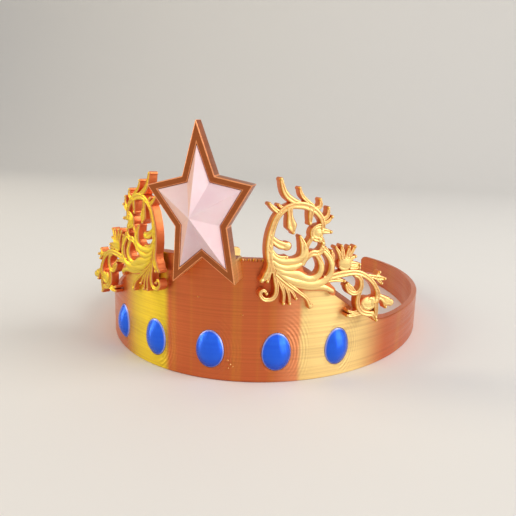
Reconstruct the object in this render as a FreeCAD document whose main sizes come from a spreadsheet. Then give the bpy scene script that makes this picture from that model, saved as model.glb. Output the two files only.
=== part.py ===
import FreeCAD, Part
import Sketcher
import math
import os

# An open-backed tiara: a tapering head band with a raised front, a leaning star on
# its centre and a pierced acanthus scroll on each shoulder, all in one piece. Five
# egg-shaped gems sit in dished sockets round the front, and a faceted star insert
# fills the star's recess. While it is built, x = y = 0 is the middle of the band's
# widest section, the front looks along -Y and z = 0 is the level it rests on.

os.makedirs("parts", exist_ok=True)
doc = FreeCAD.newDocument("tiara")
sheet = doc.addObject("Spreadsheet::Sheet", "sizes")

DRIVING = [
    # head band
    ("half_width", 70.0),
    ("front_reach", 89.0),
    ("rear_reach", 102.0),
    ("side_wall", 2.4),
    ("front_wall", 5.0),
    ("front_height", 42.7),
    ("strap_height", 17.0),
    ("strap_end_height", 14.0),
    ("strap_end_angle", 54.0),
    ("strap_end_round", 3.5),
    ("plateau_half", 18.2),
    ("shoulder_slope", 43.0),
    ("shoulder_round", 20.0),
    ("foot_round", 12.0),
    # star frame and its insert
    ("star_half_width", 17.9),
    ("star_half_height", 27.9),
    ("star_notch_ratio", 0.5),
    ("star_offset", -0.6),
    ("star_centre_height", 58.2),
    ("star_standoff", 8.8),
    ("star_plate", 4.8),
    ("star_border", 2.1),
    ("star_recess", 2.0),
    ("star_lean", 3.5),
    ("star_roll", -2.0),
    ("star_block_top", 42.7),
    ("star_block_sink", 2.0),
    ("insert_clearance", 0.15),
    ("insert_peak", 9.0),
    # gems
    ("gem_pitch", 22.8),
    ("gem_centre_height", 10.5),
    ("gem_half_width", 5.0),
    ("gem_upper", 7.3),
    ("gem_lower", 6.1),
    ("gem_depth", 2.3),
    ("gem_seat", 1.4),
    ("gem_clearance", 0.15),
    # scroll panels
    ("scroll_turn", 33.7),
    ("scroll_proud", 2.2),
    ("scroll_leaf", 2.5),
    ("scroll_crest", 0.9),
    ("scroll_scale", 1.0),
]

for row, (alias, value) in enumerate(DRIVING, start=1):
    sheet.set("A%d" % row, alias)
    sheet.set("B%d" % row, str(value))
    sheet.setAlias("B%d" % row, alias)
doc.recompute()

MARGIN = 5.0
TOUCH = 0.01
SLIGHT_TURN = 0.25
TIGHT_TURN = 0.95
ANGLE_STEPS = 2000
GEM_SLOTS = (-2, -1, 0, 1, 2)
GEM_NAMES = ("gem_far_left", "gem_left", "gem_centre", "gem_right", "gem_far_right")


def size(alias):
    return float(getattr(sheet, alias))


def bind(obj, prop, formula):
    obj.setExpression(prop, formula)


def make(kind, name, **values):
    obj = doc.addObject(kind, name)
    for prop, value in values.items():
        setattr(obj, prop, value)
    return obj


def extrude(name, profile, direction, length_formula, reverse_formula=None):
    solid = make("Part::Extrusion", name, Base=profile, DirMode="Custom", Dir=direction, Solid=True)
    bind(solid, "LengthFwd", length_formula)
    if reverse_formula:
        bind(solid, "LengthRev", reverse_formula)
    return solid


def boolean(kind, name, base, tool):
    return make("Part::" + kind, name, Base=base, Tool=tool)


def fuse(name, shapes):
    return make("Part::MultiFuse", name, Shapes=shapes, Refine=True)


# Head band


def ellipse_column(name, reach_formula, half_formula):
    # the ellipse's long axis lies along Y
    ring = make("Part::Ellipse", name + "_outline")
    bind(ring, "MajorRadius", reach_formula)
    bind(ring, "MinorRadius", half_formula)
    ring.Placement = FreeCAD.Placement(FreeCAD.Vector(), FreeCAD.Rotation(FreeCAD.Vector(0, 0, 1), 90))
    return extrude(name, ring, FreeCAD.Vector(0, 0, 1), "sizes.front_height")


def shoulder_sketch():
    # right half of the front's side view: plateau, shoulder arc, slope, foot arc, strap
    sketch = doc.addObject("Sketcher::SketchObject", "front_profile")
    sketch.Placement = FreeCAD.Placement(FreeCAD.Vector(), FreeCAD.Rotation(FreeCAD.Vector(1, 0, 0), 90))
    wide = size("half_width") + MARGIN
    high = size("front_height")
    low = size("strap_height")
    flat = size("plateau_half")
    slope = math.radians(size("shoulder_slope"))
    top_round = size("shoulder_round")
    low_round = size("foot_round")
    point = FreeCAD.Vector
    arc_end = point(flat + top_round * math.sin(slope), high - top_round * (1 - math.cos(slope)), 0)
    drop = arc_end.y - low - low_round * (1 - math.cos(slope))
    line_end = point(arc_end.x + drop / math.tan(slope), arc_end.y - drop, 0)
    foot = point(line_end.x + low_round * math.sin(slope), low, 0)
    corners = [point(0, 0, 0), point(wide, 0, 0), point(wide, low, 0), foot, line_end, arc_end]
    corners += [point(flat, high, 0), point(0, high, 0)]
    up = point(0, 0, 1)
    right_angle = math.pi / 2
    foot_circle = Part.Circle(point(foot.x, low + low_round, 0), up, low_round)
    top_circle = Part.Circle(point(flat, high - top_round, 0), up, top_round)
    bottom, side, strap, foot_arc, ramp, top_arc, plateau, middle = range(8)
    sketch.addGeometry(
        [
            Part.LineSegment(corners[0], corners[1]),
            Part.LineSegment(corners[1], corners[2]),
            Part.LineSegment(corners[2], corners[3]),
            Part.ArcOfCircle(foot_circle, 3 * right_angle - slope, 3 * right_angle),
            Part.LineSegment(corners[4], corners[5]),
            Part.ArcOfCircle(top_circle, right_angle - slope, right_angle),
            Part.LineSegment(corners[6], corners[7]),
            Part.LineSegment(corners[7], corners[0]),
        ]
    )
    rule = Sketcher.Constraint
    sketch.addConstraint(
        [
            rule("Coincident", bottom, 1, -1, 1),
            rule("Coincident", bottom, 2, side, 1),
            rule("Coincident", side, 2, strap, 1),
            rule("Tangent", strap, 2, foot_arc, 2),
            rule("Tangent", foot_arc, 1, ramp, 1),
            rule("Tangent", ramp, 2, top_arc, 1),
            rule("Tangent", top_arc, 2, plateau, 1),
            rule("Coincident", plateau, 2, middle, 1),
            rule("Coincident", middle, 2, bottom, 1),
            rule("Horizontal", bottom),
            rule("Vertical", side),
            rule("Horizontal", strap),
            rule("Horizontal", plateau),
            rule("Vertical", middle),
        ]
    )
    driven = [
        ("wide", rule("DistanceX", bottom, 1, bottom, 2, wide), "sizes.half_width + %g" % MARGIN),
        ("low", rule("DistanceY", side, 1, side, 2, low), "sizes.strap_height"),
        ("high", rule("DistanceY", middle, 2, middle, 1, high), "sizes.front_height"),
        ("flat", rule("DistanceX", plateau, 2, plateau, 1, flat), "sizes.plateau_half"),
        ("topRound", rule("Radius", top_arc, top_round), "sizes.shoulder_round"),
        ("footRound", rule("Radius", foot_arc, low_round), "sizes.foot_round"),
        ("slope", rule("Angle", ramp, math.pi - slope), "(180 - sizes.shoulder_slope) * 1 deg"),
    ]
    for name, constraint, formula in driven:
        index = sketch.addConstraint(constraint)
        sketch.renameConstraint(index, name)
        sketch.setExpression("Constraints." + name, formula)
    return sketch


def front_half():
    outer = ellipse_column("front_outer", "sizes.front_reach", "sizes.half_width")
    inner = ellipse_column(
        "front_inner", "sizes.front_reach - sizes.front_wall", "sizes.half_width - sizes.side_wall"
    )
    ring = boolean("Cut", "front_ring", outer, inner)
    profile = shoulder_sketch()
    side_view = extrude("front_side_view", profile, FreeCAD.Vector(0, -1, 0), "sizes.front_reach + %g" % MARGIN)
    return boolean("Common", "front_quarter", ring, side_view)


def strap_end():
    # the strap's end on its outer face, and the direction in which it runs out there
    turn = math.radians(size("strap_end_angle"))
    across = size("half_width")
    along = size("rear_reach")
    corner = FreeCAD.Vector(across * math.cos(turn), along * math.sin(turn), 0)
    run = FreeCAD.Vector(-across * math.sin(turn), along * math.cos(turn), 0)
    return corner, run.normalize()


def rear_half():
    outer = ellipse_column("rear_outer", "sizes.rear_reach", "sizes.half_width")
    inner = ellipse_column(
        "rear_inner", "sizes.rear_reach - sizes.side_wall", "sizes.half_width - sizes.side_wall"
    )
    ring = boolean("Cut", "rear_ring", outer, inner)

    # the strap gets lower in a straight line from the widest section to its end
    taper = make("Part::Wedge", "strap_taper", Xmin=0, X2min=0, Ymin=0, Zmin=0, Z2min=0)
    for prop in ("Xmax", "X2max"):
        bind(taper, prop, "sizes.half_width + %g" % MARGIN)
    bind(taper, "Ymax", "sizes.rear_reach + %g" % MARGIN)
    bind(taper, "Zmax", "sizes.strap_height")
    fall = "(sizes.strap_height - sizes.strap_end_height) / sin(sizes.strap_end_angle * 1 deg)"
    bind(taper, "Z2max", "sizes.strap_height - %s * (1 + %g / sizes.rear_reach)" % (fall, MARGIN))
    strap = boolean("Common", "strap", ring, taper)

    # a block whose far face crosses the strap squarely at its end
    corner, run = strap_end()
    block = make("Part::Box", "strap_block")
    bind(block, "Length", "4 * sizes.half_width")
    bind(block, "Width", "3 * sizes.rear_reach")
    bind(block, "Height", "2 * sizes.strap_height")
    spin = FreeCAD.Rotation(FreeCAD.Vector(0, 1, 0), run)
    far_middle = FreeCAD.Vector(2 * size("half_width"), 3 * size("rear_reach"), size("strap_height"))
    block.Placement = FreeCAD.Placement(corner - spin.multVec(far_middle), spin)
    return boolean("Common", "strap_quarter", strap, block)


def rounded_half(half):
    # round the upper corner of the strap's end
    corner, run = strap_end()
    chosen = []
    for number, edge in enumerate(half.Shape.Edges, start=1):
        ends = [vertex.Point for vertex in edge.Vertexes]
        on_end = all(abs((end - corner).dot(run)) < TOUCH for end in ends)
        high = all(end.z > size("strap_end_height") - TOUCH for end in ends)
        if on_end and high:
            chosen.append((number, size("strap_end_round"), size("strap_end_round")))
    return make("Part::Fillet", "band_half", Base=half, Edges=chosen)


# Star


def star_sketch():
    # ten corners round the centre, tips and notches in turn, first tip upwards
    sketch = doc.addObject("Sketcher::SketchObject", "star_outline")
    sketch.Placement = FreeCAD.Placement(FreeCAD.Vector(), FreeCAD.Rotation(FreeCAD.Vector(1, 0, 0), 90))
    corners = []
    for step in range(10):
        angle = math.radians(36 * step)
        reach = size("star_notch_ratio") if step % 2 else 1.0
        across = size("star_half_width") * reach * math.sin(angle)
        corners.append(FreeCAD.Vector(across, size("star_half_height") * reach * math.cos(angle), 0))
    for step in range(10):
        sketch.addGeometry(Part.LineSegment(corners[step], corners[(step + 1) % 10]))
    rule = Sketcher.Constraint
    for step in range(10):
        sketch.addConstraint(rule("Coincident", step, 2, (step + 1) % 10, 1))
        ratio = " * sizes.star_notch_ratio" if step % 2 else ""
        places = (
            ("DistanceX", "across", corners[step].x, "sizes.star_half_width", "sin"),
            ("DistanceY", "up", corners[step].y, "sizes.star_half_height", "cos"),
        )
        for kind, word, value, reach, turn in places:
            index = sketch.addConstraint(rule(kind, -1, 1, step, 1, value))
            name = "%s%d" % (word, step)
            sketch.renameConstraint(index, name)
            formula = "%s%s * %s(%d deg)" % (reach, ratio, turn, 36 * step)
            sketch.setExpression("Constraints." + name, formula)
    return sketch


def inset(name, sketch, distance_formula):
    ring = make("Part::Offset2D", name, Source=sketch, Join="Intersection", Fill=False)
    bind(ring, "Value", distance_formula)
    return ring


def star_placement(obj):
    lean = FreeCAD.Rotation(FreeCAD.Vector(1, 0, 0), size("star_lean"))
    roll = FreeCAD.Rotation(FreeCAD.Vector(0, 1, 0), size("star_roll"))
    forward = size("front_reach") + size("star_standoff")
    place = FreeCAD.Vector(size("star_offset"), -forward, size("star_centre_height"))
    obj.Placement = FreeCAD.Placement(place, lean * roll)


def star_frame(sketch):
    inward = FreeCAD.Vector(0, 1, 0)
    plate = extrude("star_plate", sketch, inward, "sizes.star_plate")
    window = inset("star_window", sketch, "-sizes.star_border")
    recess = extrude("star_recess", window, inward, "sizes.star_recess")
    framed = boolean("Cut", "star_framed", plate, recess)

    # below the band's top edge the star is carried by a block of its own outline
    reach = "sizes.star_standoff + sizes.star_block_sink"
    column = extrude("star_column", sketch, inward, reach)
    low_box = make("Part::Box", "star_block_box")
    bind(low_box, "Length", "2 * sizes.star_half_width")
    bind(low_box, "Width", "2 * (%s)" % reach)
    bind(low_box, "Height", "sizes.star_half_height")
    bind(low_box, "Placement.Base.x", "-sizes.star_half_width")
    bind(low_box, "Placement.Base.y", "sizes.star_plate / 2")
    drop = "sizes.star_block_top - sizes.star_centre_height - sizes.star_half_height"
    bind(low_box, "Placement.Base.z", drop)
    block = boolean("Common", "star_block", column, low_box)
    frame = fuse("star_frame", [framed, block])
    star_placement(frame)
    return frame


def star_insert(sketch):
    border = "-sizes.star_border - sizes.insert_clearance"
    outline = inset("insert_outline", sketch, border)
    foot = extrude("insert_foot", outline, FreeCAD.Vector(0, 1, 0), "sizes.star_recess")
    peak = make("Part::Vertex", "insert_peak", X=0, Z=0)
    bind(peak, "Y", "-sizes.insert_peak")
    facets = make("Part::Loft", "insert_facets", Sections=[outline, peak], Solid=True, Ruled=True)
    insert = fuse("star_insert", [foot, facets])
    star_placement(insert)
    return insert


# Gems


def egg_column(name, depth_formula, extra):
    # an upright egg outline, half a tall ellipse over half a short one, reaching back from y = 0
    halves = []
    for part, height, low in (("upper", "gem_upper", 0), ("lower", "gem_lower", 1)):
        label = "%s_%s" % (name, part)
        ring = make("Part::Ellipse", label + "_outline")
        bind(ring, "MajorRadius", "sizes.%s%s" % (height, extra))
        bind(ring, "MinorRadius", "sizes.gem_half_width" + extra)
        stand = FreeCAD.Rotation(
            FreeCAD.Vector(0, 0, 1), FreeCAD.Vector(1, 0, 0), FreeCAD.Vector(0, 1, 0), "XYZ"
        )
        ring.Placement = FreeCAD.Placement(FreeCAD.Vector(), stand)
        column = extrude(label + "_column", ring, FreeCAD.Vector(0, 1, 0), depth_formula, "sizes.gem_depth")
        keep = make("Part::Box", label + "_keep")
        bind(keep, "Length", "4 * sizes.gem_half_width")
        bind(keep, "Width", "4 * sizes.front_wall")
        bind(keep, "Height", "2 * sizes.gem_upper")
        bind(keep, "Placement.Base.x", "-2 * sizes.gem_half_width")
        bind(keep, "Placement.Base.y", "-2 * sizes.front_wall")
        bind(keep, "Placement.Base.z", "-%d * 2 * sizes.gem_upper" % low)
        halves.append(boolean("Common", label, column, keep))
    return fuse(name, halves)


def gem_roller(name, half, letter, axis):
    # a cylinder lying behind the gem whose side rounds the gem's front off one way
    radius = "(sizes.%s ^ 2 + sizes.gem_depth ^ 2) / (2 * sizes.gem_depth)" % half
    roller = make("Part::Cylinder", name)
    bind(roller, "Radius", radius)
    bind(roller, "Height", "4 * sizes.gem_upper")
    roller.Placement = FreeCAD.Placement(FreeCAD.Vector(), FreeCAD.Rotation(FreeCAD.Vector(0, 0, 1), axis))
    bind(roller, "Placement.Base.y", radius + " - sizes.gem_depth")
    bind(roller, "Placement.Base." + letter, "-2 * sizes.gem_upper")
    return roller


def gem_form():
    column = egg_column("gem_blank", "sizes.gem_seat", "")
    upright = gem_roller("gem_upright_roller", "gem_half_width", "z", FreeCAD.Vector(0, 0, 1))
    level = gem_roller("gem_level_roller", "gem_upper", "x", FreeCAD.Vector(1, 0, 0))
    rounded = boolean("Common", "gem_rounded", column, upright)
    return boolean("Common", "gem_form", rounded, level)


def front_angle(distance):
    # the ellipse angle that lies this far round the band's front face from its middle
    across = size("half_width")
    along = size("front_reach")
    angle = 0.0
    for _ in range(ANGLE_STEPS):
        pace = math.hypot(across * math.cos(angle), along * math.sin(angle))
        angle += distance / ANGLE_STEPS / pace
    return angle


def gem_placement(slot):
    angle = front_angle(slot * size("gem_pitch"))
    across = size("half_width")
    along = size("front_reach")
    place = FreeCAD.Vector(across * math.sin(angle), -along * math.cos(angle), size("gem_centre_height"))
    facing = math.degrees(math.atan2(math.sin(angle) / across, math.cos(angle) / along))
    return FreeCAD.Placement(place, FreeCAD.Rotation(FreeCAD.Vector(0, 0, 1), facing))


# Scroll panels

# Every leaf and strand is a centre line of (across, height, breadth) points, seen from the
# front of the right-hand panel: across from the foot of the panel's normal, height above
# the base.
LEAVES = {
    "stem": [(-31.6, 39.5, 1.6), (-33.0, 44.0, 2.6), (-33.2, 49.0, 2.8), (-32.3, 54.0, 2.4),
             (-30.4, 58.0, 2.2), (-27.3, 60.4, 2.2), (-23.5, 61.0, 2.6), (-19.6, 60.1, 2.6),
             (-16.6, 58.0, 2.2), (-15.0, 55.3, 1.9), (-15.0, 52.4, 1.8)],
    "horn": [(-23.5, 61.6, 1.6), (-26.3, 62.7, 2.2), (-28.3, 64.4, 2.1), (-29.4, 66.6, 1.7),
             (-30.0, 69.0, 1.2)],
    "left spur": [(-30.0, 58.4, 1.8), (-32.0, 59.9, 1.5), (-33.6, 61.4, 1.0)],
    "left bud": [(-28.8, 59.8, 1.2), (-30.5, 61.0, 0.9)],
    "top leaf": [(-18.6, 60.6, 1.4), (-21.0, 62.4, 1.4), (-22.8, 64.2, 1.4), (-23.6, 66.3, 0.9)],
    "crown leaf": [(-18.0, 59.6, 1.8), (-16.2, 60.8, 1.6), (-16.3, 62.7, 1.1)],
    "side leaf": [(-15.2, 56.2, 1.8), (-13.5, 57.5, 1.6), (-13.2, 60.0, 1.0)],
    "side hook": [(-14.6, 55.0, 1.4), (-12.9, 55.8, 1.3), (-11.7, 57.1, 0.8)],
    "drop leaf": [(-27.0, 60.2, 2.4), (-26.7, 57.8, 2.0), (-26.4, 56.0, 2.9), (-25.9, 54.3, 3.8),
                  (-25.2, 52.2, 0.9)],
    "inner lobe": [(-19.2, 60.2, 2.6), (-19.5, 57.8, 2.0), (-19.5, 55.1, 1.2)],
    "flower left": [(-15.4, 54.4, 1.6), (-17.3, 53.8, 1.8), (-18.6, 52.2, 1.9), (-17.8, 50.2, 1.8),
                    (-15.7, 49.6, 1.8)],
    "flower right": [(-15.2, 52.6, 2.4), (-13.5, 52.4, 1.8), (-11.8, 52.1, 1.0)],
    "flower foot": [(-16.0, 50.6, 2.2), (-14.8, 49.4, 1.6), (-14.2, 48.2, 1.0)],
    "inner curl": [(-33.4, 51.4, 2.2), (-31.4, 49.5, 2.4), (-29.3, 48.3, 2.8), (-27.0, 47.9, 2.4)],
    "inner strand": [(-33.8, 48.4, 2.0), (-32.2, 46.0, 1.8), (-30.0, 44.3, 1.7), (-27.2, 44.2, 1.2)],
    "arch leaf": [(-22.6, 42.0, 4.0), (-21.1, 45.0, 3.6), (-21.5, 47.8, 2.7), (-22.7, 50.8, 0.9)],
    "arch link": [(-20.6, 45.6, 1.8), (-20.0, 48.2, 1.8), (-18.6, 50.2, 1.6)],
    "middle bridge": [(-21.0, 43.0, 1.8), (-18.4, 45.2, 2.4), (-16.0, 45.3, 2.4),
                      (-14.7, 46.6, 2.0), (-14.5, 48.4, 1.2)],
    "inner arc": [(-16.8, 45.0, 1.9), (-15.3, 42.6, 2.1), (-14.7, 40.3, 2.4), (-15.5, 38.0, 2.6),
                  (-17.2, 36.6, 2.0)],
    "outer arc": [(-15.2, 47.4, 1.7), (-13.3, 45.3, 2.1), (-11.6, 43.1, 2.3), (-10.9, 40.4, 2.5),
                  (-11.7, 37.8, 2.3), (-13.8, 35.8, 2.0)],
    "arc spur": [(-11.9, 43.4, 1.6), (-12.4, 45.3, 1.3), (-13.5, 46.9, 0.8)],
    "arc bud": [(-10.6, 42.6, 1.6), (-10.5, 44.2, 1.3), (-11.2, 45.7, 0.8)],
    "second stem": [(-13.5, 36.4, 2.4), (-9.5, 37.3, 2.6), (-5.5, 37.9, 2.5), (-1.5, 38.0, 2.3),
                    (1.8, 36.9, 2.1), (4.6, 34.9, 1.8), (6.6, 32.4, 1.8), (7.6, 30.0, 2.2),
                    (7.2, 27.4, 2.4)],
    "stem barb": [(-12.2, 35.8, 1.8), (-8.6, 35.8, 1.5), (-5.7, 35.2, 0.9)],
    "fork": [(2.6, 36.6, 1.7), (5.4, 36.1, 1.7), (7.4, 35.7, 2.4), (10.1, 35.2, 1.0)],
    "fork upper": [(6.4, 35.8, 1.6), (7.8, 37.6, 0.9)],
    "fork lower": [(7.0, 35.4, 1.8), (8.9, 33.6, 1.0)],
    "eye ring": [(-2.0, 37.4, 1.7), (0.0, 36.2, 1.8), (0.9, 34.0, 1.8), (0.4, 31.8, 2.0),
                 (-1.5, 30.7, 1.8), (-3.6, 31.5, 1.7), (-5.0, 33.6, 1.1)],
    "eye curl": [(-1.6, 31.0, 1.6), (-2.6, 32.4, 1.6), (-4.4, 34.2, 1.1)],
    "low wall": [(0.6, 31.4, 1.6), (-0.1, 29.2, 1.8), (-0.1, 26.9, 1.9), (1.0, 24.5, 2.2),
                 (3.2, 23.2, 2.1), (5.9, 22.8, 2.0)],
    "low foot": [(5.4, 23.3, 2.0), (6.7, 21.9, 1.7), (7.9, 20.3, 1.0)],
    "low side": [(7.0, 27.0, 2.2), (7.4, 24.2, 1.8), (7.6, 21.4, 1.2)],
    "end leaf": [(7.4, 29.3, 2.2), (9.4, 28.4, 2.3), (11.2, 27.2, 3.2), (13.2, 26.4, 2.2)],
    "end leaf tip": [(10.4, 27.0, 1.8), (11.3, 24.9, 1.0)],
    "toe": [(0.6, 24.2, 1.6), (-1.6, 23.8, 1.3), (-3.5, 24.5, 0.9)],
    "lower toe": [(1.2, 23.4, 1.6), (-1.3, 22.8, 1.3), (-3.7, 22.9, 0.9)],
    "foot leaf": [(-33.0, 44.5, 1.8), (-33.0, 41.0, 2.2), (-33.7, 38.8, 2.8), (-35.3, 37.0, 1.4)],
    "foot leaf toe": [(-33.0, 40.0, 1.8), (-33.2, 38.0, 1.5), (-33.4, 36.5, 1.0)],
    "spiral": [(-31.4, 40.4, 1.6), (-30.7, 36.8, 1.6), (-30.2, 33.6, 1.7), (-31.0, 31.2, 1.7),
               (-33.0, 30.4, 1.5), (-35.0, 31.2, 1.4), (-35.6, 32.9, 1.2), (-34.5, 33.6, 1.1),
               (-33.6, 32.5, 1.0)],
    "first strand": [(-31.0, 39.0, 1.4), (-28.8, 35.2, 1.4), (-27.6, 32.2, 1.2), (-27.6, 28.8, 0.9)],
    "second strand": [(-30.4, 38.4, 1.4), (-27.4, 35.0, 1.4), (-25.9, 32.0, 1.2), (-25.4, 28.6, 0.9)],
    "short strand": [(-27.4, 35.2, 1.2), (-24.8, 32.8, 1.2), (-23.2, 30.2, 0.9)],
    "long strand": [(-30.6, 39.0, 1.6), (-26.2, 35.3, 1.6), (-22.2, 32.3, 1.4), (-19.4, 30.0, 1.3),
                    (-17.9, 27.3, 1.7)],
    "rose leaf 1": [(-7.4, 42.6, 1.9), (-8.4, 45.0, 1.5), (-9.7, 46.9, 0.9)],
    "rose leaf 2": [(-6.8, 43.0, 1.9), (-7.2, 45.4, 1.7), (-7.6, 47.3, 1.0)],
    "rose leaf 3": [(-5.6, 43.2, 1.9), (-5.0, 45.2, 1.6), (-4.6, 46.9, 1.0)],
    "rose leaf 4": [(-4.8, 43.0, 1.8), (-3.6, 45.2, 1.5), (-2.5, 46.9, 1.0)],
    "rose leaf 5": [(-4.8, 42.0, 1.8), (-3.2, 43.2, 1.4), (-2.1, 43.6, 0.9)],
    "rose leaf 6": [(-4.6, 41.4, 2.0), (-2.2, 41.0, 1.7), (-0.3, 40.7, 1.0)],
    "rose leaf 7": [(-4.0, 40.0, 2.0), (-1.9, 39.8, 1.4), (-0.3, 39.5, 0.9)],
}

# Fleshy middles that the leaves grow from: (across, height, radius).
BOSSES = [(-16.5, 51.9, 2.1), (-27.4, 47.8, 1.4), (-5.7, 41.6, 3.0), (3.6, 26.3, 2.9), (6.2, 27.0, 2.2),
          (11.6, 26.9, 1.8)]

# Outline of the broad leaf that fills the middle of the panel.
BROAD_LEAF = [(-33.4, 46.4), (-31.4, 44.3), (-28.6, 43.4), (-25.6, 43.7), (-22.4, 44.4), (-21.2, 42.6),
              (-21.3, 40.6), (-20.3, 38.6), (-18.8, 37.7), (-16.9, 38.6), (-15.5, 37.4), (-12.6, 36.9),
              (-10.8, 34.6), (-9.0, 32.8), (-8.8, 30.8), (-9.9, 30.4), (-11.2, 31.7), (-13.4, 32.3),
              (-19.0, 32.6), (-24.6, 34.2), (-28.4, 37.0), (-31.4, 39.6), (-33.0, 42.6)]

# Raised veins on the leaves, in the same form.
VEINS = {
    "stem vein": [(-32.6, 45.0, 0.8), (-32.7, 49.6, 1.2), (-31.8, 54.0, 1.2), (-29.6, 57.9, 1.1),
                  (-26.6, 60.2, 1.1), (-23.0, 60.8, 1.4), (-19.4, 59.9, 1.4), (-16.6, 57.8, 1.2),
                  (-15.1, 55.2, 0.9), (-15.2, 53.0, 0.8)],
    "horn vein": [(-24.6, 62.0, 0.8), (-27.3, 63.6, 1.1), (-28.9, 65.9, 0.9), (-29.8, 68.2, 0.6)],
    "first vein": [(-33.2, 47.4, 0.7), (-31.0, 43.9, 1.0), (-26.4, 42.8, 1.4), (-22.4, 43.8, 1.3),
                   (-20.8, 46.6, 1.1), (-22.1, 49.6, 0.6)],
    "second vein": [(-32.4, 43.4, 0.7), (-29.2, 41.2, 1.1), (-24.9, 40.9, 1.3), (-21.9, 41.9, 0.8)],
    "third vein": [(-31.6, 41.6, 0.7), (-28.0, 39.2, 1.3), (-23.2, 38.2, 1.8), (-18.6, 36.5, 1.6),
                   (-15.6, 38.0, 1.3), (-14.6, 40.5, 1.1), (-15.3, 42.8, 0.7)],
    "fourth vein": [(-30.6, 39.8, 0.7), (-26.4, 37.0, 1.2), (-21.4, 35.4, 1.5), (-16.2, 34.8, 1.8),
                    (-12.3, 36.7, 1.4), (-10.9, 39.6, 1.2), (-11.6, 42.6, 1.0), (-14.0, 45.6, 0.7)],
    "fifth vein": [(-24.4, 34.9, 0.7), (-18.6, 33.6, 0.9), (-13.4, 33.5, 1.1), (-9.8, 31.9, 0.8)],
    "second stem vein": [(-11.0, 37.0, 0.8), (-5.5, 37.9, 1.2), (-1.5, 37.9, 1.2), (1.8, 36.8, 1.1),
                         (4.6, 34.8, 0.9), (6.7, 32.2, 0.8), (7.5, 29.4, 0.8)],
    "eye vein": [(-1.2, 37.0, 0.7), (0.6, 35.2, 0.9), (0.7, 32.9, 0.9), (-0.9, 31.0, 0.9),
                 (-3.0, 31.1, 0.8), (-4.5, 33.0, 0.6)],
    "low vein": [(0.1, 30.4, 0.7), (-0.2, 27.4, 1.0), (0.9, 24.7, 1.1), (3.2, 23.3, 1.0), (5.8, 23.0, 0.8)],
    "low swirl": [(1.6, 27.0, 0.8), (3.0, 25.2, 1.1), (5.2, 25.0, 1.1), (6.4, 26.8, 1.1),
                  (5.0, 28.4, 1.0), (3.4, 27.6, 0.7)],
    "rose swirl": [(-8.0, 40.4, 0.8), (-6.6, 39.4, 1.0), (-4.6, 39.9, 1.1), (-3.9, 41.8, 1.1),
                   (-5.2, 43.3, 1.0), (-6.8, 42.6, 0.9), (-6.3, 41.4, 0.7)],
    "flower swirl": [(-15.6, 53.7, 0.8), (-17.6, 53.3, 1.0), (-18.3, 51.6, 1.0), (-17.0, 50.3, 1.0),
                     (-15.3, 51.0, 0.9), (-15.9, 52.2, 0.7)],
    "spiral vein": [(-31.2, 39.0, 0.6), (-30.5, 35.4, 0.8), (-30.3, 33.0, 0.8), (-31.4, 31.0, 0.8),
                    (-33.2, 30.4, 0.7), (-35.0, 31.4, 0.7), (-35.2, 33.0, 0.6)],
    "long vein": [(-29.4, 38.0, 0.6), (-26.0, 35.2, 0.8), (-22.1, 32.3, 0.7), (-19.4, 30.0, 0.7),
                  (-18.0, 27.8, 0.8)],
}


def panel_point(across, height):
    scale = size("scroll_scale")
    return FreeCAD.Vector(across * scale, 0, height * scale)


def spline(points):
    curve = Part.BSplineCurve()
    curve.interpolate(points)
    return curve


def leaf_side(points):
    # each three points make a line where they hardly turn, two lines, or an arc where they curl
    edges = []
    for first, middle, last in zip(points[0::2], points[1::2], points[2::2]):
        turn = (middle - first).getAngle(last - middle)
        if turn > TIGHT_TURN:
            edges.append(Part.Arc(first, middle, last).toShape())
        elif turn > SLIGHT_TURN:
            edges.append(Part.LineSegment(first, middle).toShape())
            edges.append(Part.LineSegment(middle, last).toShape())
        else:
            edges.append(Part.LineSegment(first, last).toShape())
    return edges


def leaf_face(stations):
    # a tapered leaf: its two sides lie half the breadth either side of the centre line
    scale = size("scroll_scale")
    centre = spline([panel_point(across, height) for across, height, _ in stations])
    knots = centre.getKnots()
    breadths = [breadth for _, _, breadth in stations]
    spots = [(knots[0], breadths[0])]
    for index in range(1, len(knots)):
        spots.append(((knots[index - 1] + knots[index]) / 2, (breadths[index - 1] + breadths[index]) / 2))
        spots.append((knots[index], breadths[index]))
    left = []
    right = []
    for parameter, breadth in spots:
        middle = centre.value(parameter)
        along = centre.tangent(parameter)[0]
        aside = FreeCAD.Vector(-along.z, 0, along.x) * (breadth * scale / 2)
        left.append(middle + aside)
        right.append(middle - aside)
    right.reverse()
    edges = leaf_side(left)
    edges.append(Part.LineSegment(left[-1], right[0]).toShape())
    edges += leaf_side(right)
    edges.append(Part.LineSegment(right[-1], left[0]).toShape())
    return Part.Face(Part.Wire(edges))


def boss_face(across, height, radius):
    circle = Part.Circle(panel_point(across, height), FreeCAD.Vector(0, 1, 0), radius * size("scroll_scale"))
    return Part.Face(Part.Wire(circle.toShape()))


def broad_face():
    points = [panel_point(across, height) for across, height in BROAD_LEAF]
    return Part.Face(Part.makePolygon(points + points[:1]))


def joined(faces):
    # one flat face from many that overlap, bounded by the edges that only one of them uses
    pieces = faces[0].multiFuse(faces[1:])
    users = {}
    for face in pieces.Faces:
        for edge in face.Edges:
            users.setdefault(edge.hashCode(), []).append(edge)
    rim = [edges[0] for edges in users.values() if len(edges) == 1]
    wires = [Part.Wire(chain) for chain in Part.sortEdges(rim)]
    return Part.makeFace(wires, "Part::FaceMakerBullseye")


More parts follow.
